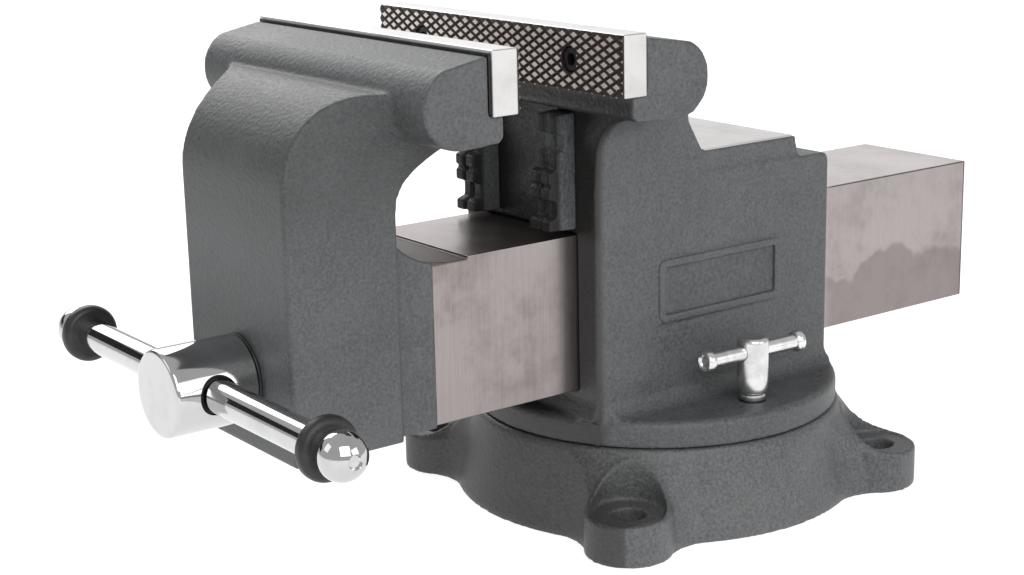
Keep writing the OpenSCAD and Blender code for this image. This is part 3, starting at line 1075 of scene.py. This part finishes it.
@dataclass
class StaticJaw:
    """Body casting with its flange, neck and jaw bar, the anvil pad and the plate borders."""

    shop: Workshop
    pad_half: float = 52.5 * MM
    pad_front: float = -11.5 * MM
    pad_rear: float = 51.5 * MM
    pad_top: float = 191.0 * MM
    pad_clear: float = 200.0 * MM
    border_width: float = 4.0 * MM
    border_side: float = 55.0 * MM
    border_rise: float = 1.9 * MM
    border_low: Point2 = (-45 * MM, 105 * MM)
    border_high: Point2 = (40 * MM, 138 * MM)
    border_corner: float = 4.5 * MM

    def build(self) -> None:
        """Builds the casting and what is machined or raised on it."""
        low = (-self.pad_half * 1.2, self.pad_front - 0.4 * MM, self.pad_top - 0.8 * MM)
        above = Solid.box(low, (self.pad_half * 1.2, self.pad_rear * 1.2, self.pad_clear))
        skin = SandMould().cast(Solid.of_node("rear_jaw").carve(above))
        self.shop.piece("body_casting", skin, Wear.THROAT, Body.STATIC, ["rear_jaw"], False)
        self.shop.piece("plate_border", self.border(), Wear.PAINT, Body.STATIC, [], False)
        self.shop.piece("plate_panel", self.panel(), Wear.PANEL, Body.STATIC)
        self.shop.piece("anvil_face", self.anvil(), Wear.ANVIL, Body.STATIC)

    def border(self) -> Solid:
        """Raised rectangular border with rounded corners on each side of the body.

        Returns:
            The two borders.
        """
        outer = self.frame_outline(0.0)
        inner = self.frame_outline(self.border_width)
        low, high = self.border_side - 1 * MM, self.border_side + self.border_rise
        made = Solid.prism(outer, low, high)
        made.carve(Solid.prism(inner, low - 1 * MM, high + 1 * MM))
        return made.soften(0.5 * MM, 2, 60.0).twin()

    def panel(self) -> Solid:
        """Rough ground inside each border."""
        outline = self.frame_outline(self.border_width + 0.3 * MM)
        made = Solid.prism(outline, self.border_side - 1 * MM, self.border_side + 0.5 * MM)
        return made.soften(0.3 * MM, 2, 60.0).twin()

    def frame_outline(self, inset: float) -> list[Point2]:
        """Rounded rectangle of the border, set in by a distance.

        Args:
            inset: The distance.

        Returns:
            (Y, Z) points.
        """
        (y0, z0), (y1, z1) = self.border_low, self.border_high
        radius = self.border_corner - inset * 0.8
        y0, z0 = y0 + inset + radius, z0 + inset + radius
        y1, z1 = y1 - inset - radius, z1 - inset - radius
        corners = [((y1, z1), 0), ((y0, z1), 90), ((y0, z0), 180), ((y1, z0), 270)]
        return [p for centre, turn in corners for p in arc(centre, radius, turn, turn + 90, 5)]

    def anvil(self) -> Solid:
        """Machined top of the anvil pad."""
        low = (-self.pad_half, self.pad_front, self.pad_top - 2 * MM)
        high = (self.pad_half, self.pad_rear, self.pad_top)
        return Solid.box(low, high).soften(0.5 * MM, 2)


@dataclass
class CapScrew:
    """Socket-head screw along Y."""

    head_r: float = 6.0 * MM
    shank_r: float = 4.0 * MM
    head_len: float = 8.0 * MM
    length: float = 34.0 * MM
    socket_r: float = 3.4 * MM
    socket_deep: float = 4.0 * MM
    ease: float = 0.6 * MM

    def solid(self, x: float, top: float, z: float, inward: float) -> Solid:
        """Makes the screw.

        Args:
            x: Where its axis stands.
            top: Y of the head's face.
            z: Height of its axis.
            inward: 1 where the shank points towards +Y, or -1.

        Returns:
            The screw with its hexagonal socket.
        """
        r, neck, ease, end = self.head_r, self.shank_r, self.ease, self.length
        profile = [(0, 0), (r - ease, 0), (r, ease), (r, self.head_len), (neck, self.head_len)]
        profile += [(neck, end - ease), (neck - ease, end), (0, end)]
        made = Solid.lathe(profile, 48)
        made.carve(Solid.rod(self.socket_r, -self.socket_deep, self.socket_deep, 6))
        made.bm.transform(Matrix.Diagonal((1, 1, inward, 1)))
        return made.along(Axis.Y).move(x, top, z).tidy()


@dataclass
class JawInsert:
    """Serrated insert with its two sunk screws."""

    shop: Workshop
    which: str
    body: Body
    wear: Wear
    inward: float
    depth: float
    columns: int = 23
    rows: int = 6
    flat: float = 0.5
    rim: float = 0.35 * MM
    screw_x: float = 62.0 * MM
    screw_z: float = 246.8 * MM
    screw_sink: float = 1.5 * MM
    # depth and inset of the black plate that paints the shadow in the gap behind the insert
    shadow_plate: float = 1.1 * MM
    shadow_plate_inset: float = 1.4 * MM
    hole_r: float = 6.3 * MM
    hole_deep: float = 9.5 * MM

    def build(self) -> None:
        """Builds the insert's block, its serrated face and its screws."""
        node = f"{self.which}_jaw_insert"
        low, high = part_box(node)
        face = low.y if self.inward > 0 else high.y
        back = high.y if self.inward > 0 else low.y
        floor = face + self.inward * self.depth * 1.05
        split = back - self.inward * self.shadow_plate
        block_low = (low.x, min(floor, split), low.z)
        block = Solid.box(block_low, (high.x, max(floor, split), high.z)).soften(0.9 * MM, 3)
        block.carve(*self.holes(face))
        name = f"{self.which}_insert"
        self.shop.piece(f"{name}_block", block, Wear.GROUND, self.body, [node])
        # Black plate set into the back of the insert, inset from its edges: it paints the shadow in the
        # gap between the insert and the casting.
        inset = self.shadow_plate_inset
        shadow_plate_low = (low.x + inset, min(split, back), low.z + inset)
        shadow_plate = Solid.box(shadow_plate_low, (high.x - inset, max(split, back), high.z - inset))
        self.shop.piece(f"{name}_seat", shadow_plate.soften(0.3 * MM, 2), Wear.OXIDE, self.body, [node])
        teeth = self.teeth(low, high, face).carve(*self.holes(face))
        self.shop.piece(f"{name}_teeth", teeth, self.wear, self.body)
        screws = Solid()
        top = face + self.inward * self.screw_sink
        for x in (-self.screw_x, self.screw_x):
            screws.add(CapScrew().solid(x, top, self.screw_z, self.inward))
        nodes = [f"{self.which}_insert_screws"]
        self.shop.piece(f"{name}_screws", screws, Wear.OXIDE, self.body, nodes)

    def holes(self, face: float) -> list[Solid]:
        """Cutters for the two screw holes, sunk from the serrated face.

        Args:
            face: Y of the serrated face.

        Returns:
            The two cutters.
        """
        made = []
        for x in (-self.screw_x, self.screw_x):
            drill = Solid.rod(self.hole_r, -self.hole_deep, self.hole_deep, 40)
            made.append(drill.along(Axis.Y).move(x, face, self.screw_z))
        return made

    def teeth(self, low: Vector, high: Vector, face: float) -> Solid:
        """Grid of diamond points with flat tops, standing on a closed slab.

        Args:
            low: Lowest corner of the insert.
            high: Highest corner of the insert.
            face: Y of the points' tops.

        Returns:
            The slab of teeth.
        """
        made = Solid()
        cells = (2 * self.columns, 2 * self.rows)
        bmesh.ops.create_grid(made.bm, x_segments=cells[0], y_segments=cells[1], size=0.5)
        width, height = high.x - low.x - 2 * self.rim, high.z - low.z - 2 * self.rim
        apex = self.depth - self.depth / (1.0 - self.flat)
        points = set()
        for vert in made.bm.verts:
            column = round((vert.co.x + 0.5) * cells[0])
            row = round((vert.co.y + 0.5) * cells[1])
            raised = (column + row) % 2 == 1
            top = 0.0 if vert.is_boundary else apex
            vert.co = (vert.co.x * width, top if raised else self.depth, vert.co.y * height)
            if raised:
                points.add(vert)
        for quad in made.bm.faces[:]:
            grooves = [v for v in quad.verts if v not in points]
            bmesh.utils.face_split(quad, grooves[0], grooves[1])
        bmesh.ops.bevel(
            made.bm,
            geom=[v for v in points if not v.is_boundary],
            offset=100.0 * self.flat,
            offset_type="PERCENT",
            affect="VERTICES",
            segments=1,
            profile=0.5,
            material=-1,
        )
        self.wall(made)
        mirror = Matrix.Diagonal((1, self.inward, 1, 1))
        centre = Vector(((low.x + high.x) / 2, face, (low.z + high.z) / 2))
        made.bm.transform(Matrix.Translation(centre) @ mirror)
        return made.tidy()

    def wall(self, made: Solid) -> None:
        """Draws the edge of the toothed sheet back to close it into a slab.

        Args:
            made: The sheet.
        """
        rim = [e for e in made.bm.edges if e.is_boundary]
        drawn = bmesh.ops.extrude_edge_only(made.bm, edges=rim)["geom"]
        for vert in (v for v in drawn if isinstance(v, bmesh.types.BMVert)):
            vert.co.y = 2.2 * self.depth
        bmesh.ops.holes_fill(made.bm, edges=[e for e in made.bm.edges if e.is_boundary], sides=0)


@dataclass
class PipeJaws:
    """Stepped and toothed blocks that grip pipe below the flat jaws."""

    shop: Workshop
    low: float = 158.0 * MM
    steps: tuple[Point2, ...] = (
        (0 * MM, 17 * MM),
        (7 * MM, 12 * MM),
        (16 * MM, 17 * MM),
        (31 * MM, 12 * MM),
        (40 * MM, 7 * MM),
        (49 * MM, 12 * MM),
        (59 * MM, 0 * MM),
    )
    notch: float = 2.4 * MM
    pitch: float = 6.4 * MM
    cleft: float = 1.4 * MM
    width: float = 16.0 * MM
    stand: float = 32.0 * MM
    front_half: float = 20.0 * MM

    def build(self) -> None:
        """Builds the rear pair, the front block and their pins."""
        mould = SandMould(grain=0.6 * MM, passes=14, kept=0.5)
        half, name = self.width / 2, "rear_pipe_jaws"
        pair = mould.cast(self.block(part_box(name)[1].y, -1, (0, 6), self.stand, half, (0.0,)).twin())
        self.shop.piece("rear_pipe_blocks", pair, Wear.PIPE_REAR, Body.STATIC, [name], False)
        half, name = self.front_half, "front_pipe_jaw"
        clefts = (-half / 2, 0.0, half / 2)
        front = mould.cast(self.block(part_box(name)[0].y, 1, (2, 5), 0.0, half, clefts))
        self.shop.piece("front_pipe_block", front, Wear.PIPE_FRONT, Body.SLIDING, [name], False)
        self.shop.copied("rear_pipe_jaw_pins", Wear.OXIDE, Body.STATIC)
        self.shop.copied("front_pipe_jaw_pins", Wear.OXIDE, Body.SLIDING)

    def block(
        self,
        back: float,
        way: int,
        steps: tuple[int, int],
        x: float,
        half: float,
        clefts: Sequence[float],
    ) -> Solid:
        """Makes the pattern of one toothed block.

        Args:
            back: Y of its flat back.
            way: 1 where the teeth point towards +Y, or -1.
            steps: Numbers of its lowest step and of the one at its top end.
            x: Where its middle stands.
            half: Half of its width.
            clefts: Places across the width of the upright grooves in the teeth.

        Returns:
            The hard-edged block.
        """
        side = self.outline(*steps)
        made = Solid.prism([(back + way * y, self.low + z) for y, z in side], x - half, x + half)
        bite = [(back + way * max(y - self.notch, 0.0), self.low + z) for y, z in side[1:-1]]
        clear = back + way * 30 * MM
        bite = [(clear, bite[0][1] - 5 * MM), (bite[0][0], bite[0][1] - 5 * MM), *bite[1:-1]]
        bite += [(bite[-1][0], bite[-1][1] + 5 * MM), (clear, bite[-1][1] + 5 * MM)]
        cutters = [Solid.prism(bite, x + at - self.cleft, x + at + self.cleft) for at in clefts]
        return made.carve(*cutters)

    def outline(self, first: int, last: int) -> list[Point2]:
        """Side outline with a row of notches on each step.

        Args:
            first: Number of the lowest step.
            last: Number of the step that starts at the top end.

        Returns:
            (depth, height) points.
        """
        points = [(0.0, self.steps[first][0])]
        for (low, deep), (high, _) in zip(self.steps[first:last], self.steps[first + 1 : last + 1]):
            low, high = low + 0.8 * MM, high - 0.8 * MM
            count = max(1, round((high - low) / self.pitch))
            for i in range(count):
                at, step = low + (high - low) * i / count, (high - low) / count
                points += [(deep - self.notch * bool(i), at), (deep, at + step * 0.22)]
                points += [(deep, at + step * 0.78)]
            points.append((deep, high))
        return points + [(0.0, self.steps[last][0])]


@dataclass
class SlidingJaw:
    """Front casting with its gooseneck column, and the machined slide behind it."""

    shop: Workshop
    root_rear: float = -172.5 * MM
    root_skin: float = 0.6 * MM
    dish: tuple[Point2, ...] = (
        (-151.5 * MM, 153.7 * MM),
        (-165.0 * MM, 153.9 * MM),
        (-168.75 * MM, 154.5 * MM),
        (-172.5 * MM, 155.2 * MM),
    )
    channel_half: float = 24.0 * MM
    channel_top: float = 138.0 * MM
    half: float = 39.5 * MM
    low: float = 74.0 * MM
    top: float = 155.0 * MM

    def build(self) -> None:
        """Builds the painted casting, the bare slide and the thrust washer."""
        pattern = Solid.of_node("front_jaw").cut((0, self.root_rear + self.root_skin, 0), (0, 1, 0))
        skin = SandMould().cast(pattern)
        self.shop.piece("front_casting", skin, Wear.FRONT, Body.SLIDING, ["front_jaw"], False)
        self.shop.piece("slide_bar", self.slide(), Wear.MACHINED, Body.SLIDING, ["front_jaw"])
        self.shop.copied("thrust_washer", Wear.PLASTIC, Body.SLIDING)

    def slide(self) -> Solid:
        """Square slide with the open channel under it and the step on its top.

        Returns:
            The slide.
        """
        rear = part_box("front_jaw")[1].y
        side = [(self.root_rear, self.low), (rear, self.low), (rear, self.top)]
        side += [(self.dish[0][0], self.top), *self.dish]
        made = Solid.prism(side, -self.half, self.half)
        channel_low = (-self.channel_half, self.root_rear - 5 * MM, self.low - 5 * MM)
        made.carve(Solid.box(channel_low, (self.channel_half, rear + 5 * MM, self.channel_top)))
        return made.plain().soften(0.7 * MM, 2, 40.0)


@dataclass
class Spindle:
    """Chromed head with the handle's cross hole, the screw behind it, its nut and its collar."""

    shop: Workshop
    radius: float = 16.0 * MM
    head_r: float = 21.0 * MM
    journal_in: float = 30.0 * MM
    hole_r: float = 8.1 * MM
    mouth_r: float = 9.5 * MM
    mouth_deep: float = 6.0 * MM
    thread_from: float = -150.0 * MM
    lead: float = 6.35 * MM
    thread_deep: float = 2.6 * MM
    steps: int = 40

    def build(self) -> None:
        """Builds the screw and what turns with it or holds it."""
        front, rear = (corner.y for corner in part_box("spindle"))
        self.shop.piece("spindle_head", self.head(front), Wear.CHROME, Body.SCREW, ["spindle"])
        journal = self.journal(front + self.journal_in).along(Axis.Y).move(z=SPINDLE_Z)
        self.shop.piece("spindle_journal", journal, Wear.THREAD, Body.SCREW, ["spindle"])
        thread = self.thread(rear).along(Axis.Y).move(z=SPINDLE_Z)
        self.shop.piece("spindle_thread", thread, Wear.THREAD, Body.SCREW, ["spindle"])
        # black rings in the cross hole's mouths: friction rings that also paint the shadow of the gap
        # around the rod
        self.shop.piece("friction_and_shadow_rings", self.rings(), Wear.RUBBER, Body.SCREW)
        self.shop.copied("spindle_collar", Wear.OXIDE, Body.SCREW, 0.8 * MM)
        self.shop.copied("spindle_collar_pin", Wear.GROUND, Body.SCREW)
        self.shop.copied("spindle_nut", Wear.BRONZE, Body.STATIC, 1.0 * MM)
        self.shop.copied("spindle_nut_screws", Wear.OXIDE, Body.STATIC)

    def head(self, front: float) -> Solid:
        """Cylindrical head with a countersunk cross hole.

        Args:
            front: Y of the head's flat face.

        Returns:
            The head.
        """
        rear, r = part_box("thrust_washer")[0].y - 0.3 * MM, self.head_r
        profile = [(0, front), (r - 2.4 * MM, front), (r - 1.3 * MM, front + 0.25 * MM)]
        profile += [(r - 0.5 * MM, front + 0.8 * MM), (r, front + 2 * MM)]
        profile += [(r, rear - 0.6 * MM), (r - 0.6 * MM, rear), (0, rear)]
        made = Solid.lathe(profile, 144).along(Axis.Y).move(z=SPINDLE_Z)
        inner, outer = r - self.mouth_deep, r * 2
        cutters = [
            Solid.rod(self.hole_r, -outer, outer, 64),
            Solid.rod(self.mouth_r, -inner, -outer, 64),
            Solid.rod(self.mouth_r, inner, outer, 64),
        ]
        return made.carve(*(cutter.along(Axis.X).move(0, SPINDLE_Y, SPINDLE_Z) for cutter in cutters))

    def rings(self) -> Solid:
        """Black rubber rings in the mouths of the cross hole, which hold the handle still and paint the
        shadow in the gap around its rod.

        Returns:
            The two rings.
        """
        out, mouth, bore = self.head_r - 5 * MM, self.mouth_r - 0.05 * MM, self.hole_r
        profile = [(bore, out - 0.9 * MM), (mouth, out - 0.9 * MM), (mouth, out + 2.1 * MM)]
        profile += [(mouth - 0.5 * MM, out + 2.6 * MM), (bore, out + 2.2 * MM)]
        return Solid.rings(profile, 64).along(Axis.X).move(0, SPINDLE_Y, SPINDLE_Z)

    def journal(self, front: float) -> Solid:
        """Plain round part that runs in the column.

        Args:
            front: Y of its front end.

        Returns:
            The part, along Z.
        """
        r, rear, bevel = self.radius, self.thread_from + 2 * MM, self.thread_deep
        profile = [(0, front), (r, front), (r, rear - bevel), (r - bevel, rear), (0, rear)]
        return Solid.lathe(profile, 64)

    def thread(self, rear: float) -> Solid:
        """Screw thread of one start, right-handed.

        Args:
            rear: Y of the screw's end.

        Returns:
            The closed threaded part, along Z.
        """
        made = Solid()
        crest, root, lead = self.radius, self.radius - self.thread_deep, self.lead
        ridge = [(root, 0.0), (root, 0.34), (crest, 0.48), (crest, 0.86), (root, 1.0)]
        front = self.thread_from - lead
        turns = math.ceil((rear - front) / lead) + 1
        bmesh.ops.spin(
            made.bm,
            geom=made.chain((r, 0, front + at * lead) for r, at in ridge),
            cent=(0, 0, 0),
            axis=(0, 0, 1),
            dvec=(0, 0, lead / self.steps),
            angle=math.tau * turns,
            steps=self.steps * turns,
            use_merge=False,
        )
        bmesh.ops.remove_doubles(made.bm, verts=made.bm.verts, dist=WELD)
        made.cut((0, 0, self.thread_from), (0, 0, -1)).cut((0, 0, rear), (0, 0, 1))
        return made


@dataclass
class Handle:
    """Sliding handle: rod, two balls and two rubber bumpers."""

    shop: Workshop
    rod_r: float = 8.0 * MM
    rod_ease: float = 0.8 * MM
    ball_r: float = 11.2 * MM
    bumper_r: float = 14.5 * MM
    bumper_inset: float = 12.0 * MM
    bumper_w: float = 8.0 * MM

    def build(self) -> None:
        """Builds the handle as it rests, a little to the left."""
        low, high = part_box("handle_rod")
        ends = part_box("handle_balls")
        self.mid = (ends[0].x + ends[1].x) / 2
        self.reach = ends[1].x - self.mid - self.ball_r
        half = (high.x - low.x) / 2
        rod = Solid.rod(self.rod_r, -half, half, 72, self.rod_ease)
        self.shop.piece("handle_bar", self.placed(rod), Wear.CHROME, Body.HANDLE, ["handle_rod"])
        balls = self.placed(Solid.rings(self.ball(), 96))
        self.shop.piece("handle_knobs", balls, Wear.CHROME, Body.HANDLE, ["handle_balls"])
        rings = self.placed(Solid.rings(self.bumper(), 96))
        self.shop.piece("handle_rings", rings, Wear.RUBBER, Body.HANDLE, ["handle_bumpers"])

    def placed(self, solid: Solid) -> Solid:
        """Lays a solid made about Z on the handle's axis."""
        return solid.along(Axis.X).move(self.mid, SPINDLE_Y, SPINDLE_Z)

    def ball(self) -> list[Point2]:
        """Section of a ball with its neck and the punched end of the rod.

        Returns:
            (radius, height) points of a closed loop.
        """
        neck, r = self.rod_r + 1.5 * MM, self.ball_r
        inner = self.reach - self.bumper_inset + self.bumper_w / 2
        start = math.degrees(math.asin(neck / r))
        turn = arc((0, self.reach), r, start - 90 + 0.01, 72, 22)
        section = [(self.rod_r - 0.2 * MM, inner), (neck, inner)]
        section += [(x, z) for x, z in turn if z > self.reach - r * math.cos(math.radians(start))]
        dimple = self.reach + r - 1.4 * MM
        section += [(3.0 * MM, dimple + 0.35 * MM), (2.6 * MM, dimple - 0.3 * MM)]
        section += [(ON_AXIS, dimple - 0.6 * MM), (ON_AXIS, self.reach - 3 * MM)]
        return section + [(self.rod_r - 0.2 * MM, self.reach - 3 * MM)]

    def bumper(self) -> list[Point2]:
        """Section of a rubber bumper.

        Returns:
            (radius, height) points of a closed loop.
        """
        mid, half, round_r = self.reach - self.bumper_inset, self.bumper_w / 2, 3.2 * MM
        hub = self.rod_r
        corner = self.bumper_r - round_r
        lower = arc((corner, mid - half + round_r), round_r, -90, 0, 7)
        upper = arc((corner, mid + half - round_r), round_r, 0, 90, 7)
        return [(hub, mid - half), *lower, *upper, (hub, mid + half)]


@dataclass
class LockScrew:
    """Swivel lock: a chromed post with a loose cross bar and its end caps."""

    shop: Workshop
    side: str
    x: float
    post: Body
    bar: Body
    bar_z: float = 87.0 * MM
    turn: float = -2.0
    bar_r: float = 4.0 * MM
    bar_ease: float = 0.3 * MM
    half: float = 33.0 * MM
    cap_r: float = 5.6 * MM
    cap_len: float = 5.0 * MM
    foot_z: float = 61.3 * MM
    crown_r: float = 2.6 * MM

    def build(self) -> None:
        """Builds one lock screw."""
        post = self.drilled_post().move(self.x)
        nodes = [f"lock_screw_{self.side}"]
        self.shop.piece(f"{self.side}_lock_post", post, Wear.NICKEL, self.post, nodes)
        half = self.half - 2 * MM
        bar = self.laid(Solid.rod(self.bar_r, -half, half, 48, self.bar_ease))
        nodes = [f"lock_bar_{self.side}"]
        self.shop.piece(f"{self.side}_lock_rod", bar, Wear.NICKEL, self.bar, nodes)
        caps = self.laid(Solid.rings(self.cap(), 48))
        nodes = [f"lock_bar_caps_{self.side}"]
        self.shop.piece(f"{self.side}_lock_caps", caps, Wear.NICKEL, self.bar, nodes)

    def laid(self, solid: Solid) -> Solid:
        """Lays a solid made about Z along the cross bar."""
        return solid.along(Axis.Y).spun(self.turn).move(self.x, 0, self.bar_z)

    def cap(self) -> list[Point2]:
        """Section of a cup-shaped end cap.

        Returns:
            (radius, height) points of a closed loop.
        """
        r, out, inner = self.cap_r, self.half, self.bar_r - 0.3 * MM
        base = out - self.cap_len
        section = [(inner, base), (r - 0.9 * MM, base), (r - 0.3 * MM, base + 0.6 * MM)]
        section += [(r, base + 1.6 * MM), (r, base + 3.4 * MM), (r - 0.5 * MM, out - 0.35 * MM)]
        section += [(r - 1.2 * MM, out), (r - 1.8 * MM, out - 0.4 * MM), (r - 2.3 * MM, out - 1.3 * MM)]
        return section + [(ON_AXIS, out - 1.8 * MM), (ON_AXIS, out - 2.6 * MM), (inner, out - 2.6 * MM)]

    def drilled_post(self) -> Solid:
        """Post with its foot ring, its shank below and the cross hole.

        Returns:
            The post, on the Z axis.
        """
        low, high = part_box(f"lock_screw_{self.side}")
        foot, top, r, crown = self.foot_z, high.z, (high.x - low.x) / 2, self.crown_r
        profile = [(0, low.z), (5.4 * MM, low.z), (6 * MM, low.z + 0.6 * MM), (6 * MM, foot - 0.3 * MM)]
        profile += [(6.5 * MM, foot), (6.8 * MM, foot + 0.5 * MM), (6.8 * MM, foot + 2.2 * MM)]
        profile += [(6.1 * MM, foot + 3 * MM), (6.3 * MM, foot + 3.8 * MM), (7.5 * MM, foot + 4.6 * MM)]
        profile += [(r - 0.15 * MM, foot + 7 * MM), (r, foot + 11 * MM), (r, self.bar_z + 5 * MM)]
        profile += arc((r - crown, top - crown), crown, 8, 90, 6) + [(0, top)]
        hole = Solid.rod(self.bar_r + 0.15 * MM, -r * 2, r * 2, 48).along(Axis.Y).spun(self.turn)
        return Solid.lathe(profile, 96).carve(hole.move(z=self.bar_z))


@dataclass
class Underside:
    """Pivot, washer, screw and tee nuts that hold the body down on its base."""

    shop: Workshop

    def build(self) -> None:
        """Builds the parts that the base hides."""
        for node in ("swivel_pivot", "pivot_washer", "pivot_screw", "lock_tee_nuts"):
            self.shop.copied(node, Wear.OXIDE, Body.STATIC, 0.5 * MM)


@dataclass
class Studio:
    """Pale floor, soft lights and the camera."""

    glow: float = 0.85
    room: float = 0.56
    lens: float = 66.34
    place: Point3 = (0.7594, -0.6551, 0.3646)
    yaw: float = 53.66
    pitch: float = 14.41
    roll: float = -1.295
    floor_half: float = 6.0
    floor_top: float = -0.2 * MM
    floor_thick: float = 30.0 * MM

    def build(self) -> None:
        """Builds the studio."""
        self.floor()
        self.flag()
        self.lights()
        self.camera()

    def floor(self) -> None:
        """Lays the floor, which glows faintly so that it reads white."""
        g = Graph("studio_floor")
        shade = g.mix((0.40, 0.40, 0.40), (0.36, 0.36, 0.36), g.noise(0.8))
        g.set(Base_Color=shade, Roughness=0.9, Emission_Color=(1.0, 1.0, 1.0))
        g.set(Emission_Strength=self.glow)
        half = self.floor_half
        self.screen("floor", (-half, -half, -self.floor_thick), (half, half, self.floor_top), g)

    def flag(self) -> None:
        """Stands a black screen to the left, which gives the chrome its dark bands."""
        g = Graph("studio_flag")
        g.set(Base_Color=g.mix((0.01, 0.01, 0.01), (0.02, 0.02, 0.02), g.noise(0.3)), Roughness=0.9)
        flag = self.screen("flag", (-1.72, -1.9, 0.38), (-1.7, -0.5, 0.92), g)
        flag.visible_camera = False

    @staticmethod
    def screen(name: str, low: Point3, high: Point3, finish: Graph) -> bpy.types.Object:
        """Puts up a slab that isn't part of the vise.

        Args:
            name: Its name.
            low: Lowest corner.
            high: Highest corner.
            finish: Graph of its finish.

        Returns:
            The slab's object.
        """
        mesh = Solid.box(low, high).to_mesh(name)
        mesh.materials.append(finish.material)
        made = linked(name, mesh)
        return made

    def lights(self) -> None:
        """Hangs the lights and sets the even surroundings."""
        world = bpy.data.worlds.new("surroundings")
        world.use_nodes = True
        sky = world.node_tree.nodes["Background"].inputs
        sky[0].default_value, sky[1].default_value = (1, 1, 1, 1), self.room
        bpy.context.scene.world = world
        bpy.context.scene.view_settings.view_transform = "Standard"
        self.lamp("key", (1.45, -0.6, 1.15), (0, -0.05, 0.12), 1.3, 16.0)
        self.lamp("front", (-0.5, -1.6, 1.1), (0, -0.2, 0.12), 0.8, 2.0)
        self.lamp("right", (1.55, 0.65, 0.68), (0, -0.15, 0.1), 1.0, 4.4)
        self.lamp("top", (-1.4, 0.0, 1.1), (0, -0.1, 0.2), 1.1, 12.0)
        self.lamp("back", (-1.3, 1.2, 0.8), (0, 0.0, 0.12), 1.4, 4.5)

    @staticmethod
    def lamp(name: str, place: Point3, target: Point3, size: float, watts: float) -> None:
        """Hangs one square soft light aimed at a point.

        Args:
            name: Its name.
            place: Where it hangs.
            target: The point that it faces.
            size: Length of its side.
            watts: Its power.
        """
        data = bpy.data.lights.new(name, "AREA")
        data.size, data.energy = size, watts
        lamp = linked(name, data)
        lamp.location = place
        away = Vector(target) - Vector(place)
        lamp.rotation_euler = away.to_track_quat("-Z", "Y").to_euler()
        lamp.visible_camera = False

    def camera(self) -> None:
        """Sets up the camera."""
        data = bpy.data.cameras.new("camera")
        data.lens = self.lens
        camera = linked("camera", data)
        yaw = Matrix.Rotation(math.radians(self.yaw), 4, "Z")
        tilt = Matrix.Rotation(math.radians(90 - self.pitch), 4, "X")
        roll = Matrix.Rotation(math.radians(self.roll), 4, "Z")
        camera.matrix_world = Matrix.Translation(self.place) @ yaw @ tilt @ roll
        bpy.context.scene.camera = camera


def main() -> None:
    """Builds the vise piece by piece and the studio around it."""
    logging.basicConfig(level=logging.INFO, format="%(message)s")
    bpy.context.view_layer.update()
    shop = Workshop(Palette(TOOTH_DEPTH))
    SwivelBase(shop).build()
    StaticJaw(shop).build()
    JawInsert(shop, "rear", Body.STATIC, Wear.REAR_TEETH, 1.0, TOOTH_DEPTH).build()
    JawInsert(shop, "front", Body.SLIDING, Wear.FRONT_TEETH, -1.0, TOOTH_DEPTH).build()
    PipeJaws(shop).build()
    SlidingJaw(shop).build()
    Spindle(shop).build()
    Handle(shop).build()
    LockScrew(shop, "right", LOCK_X, Body.RIGHT_LOCK, Body.RIGHT_BAR).build()
    LockScrew(shop, "left", -LOCK_X, Body.LEFT_LOCK, Body.LEFT_BAR).build()
    Underside(shop).build()
    Studio().build()
    log.info("%d pieces", len(shop.made))


if __name__ == "__main__":
    main()
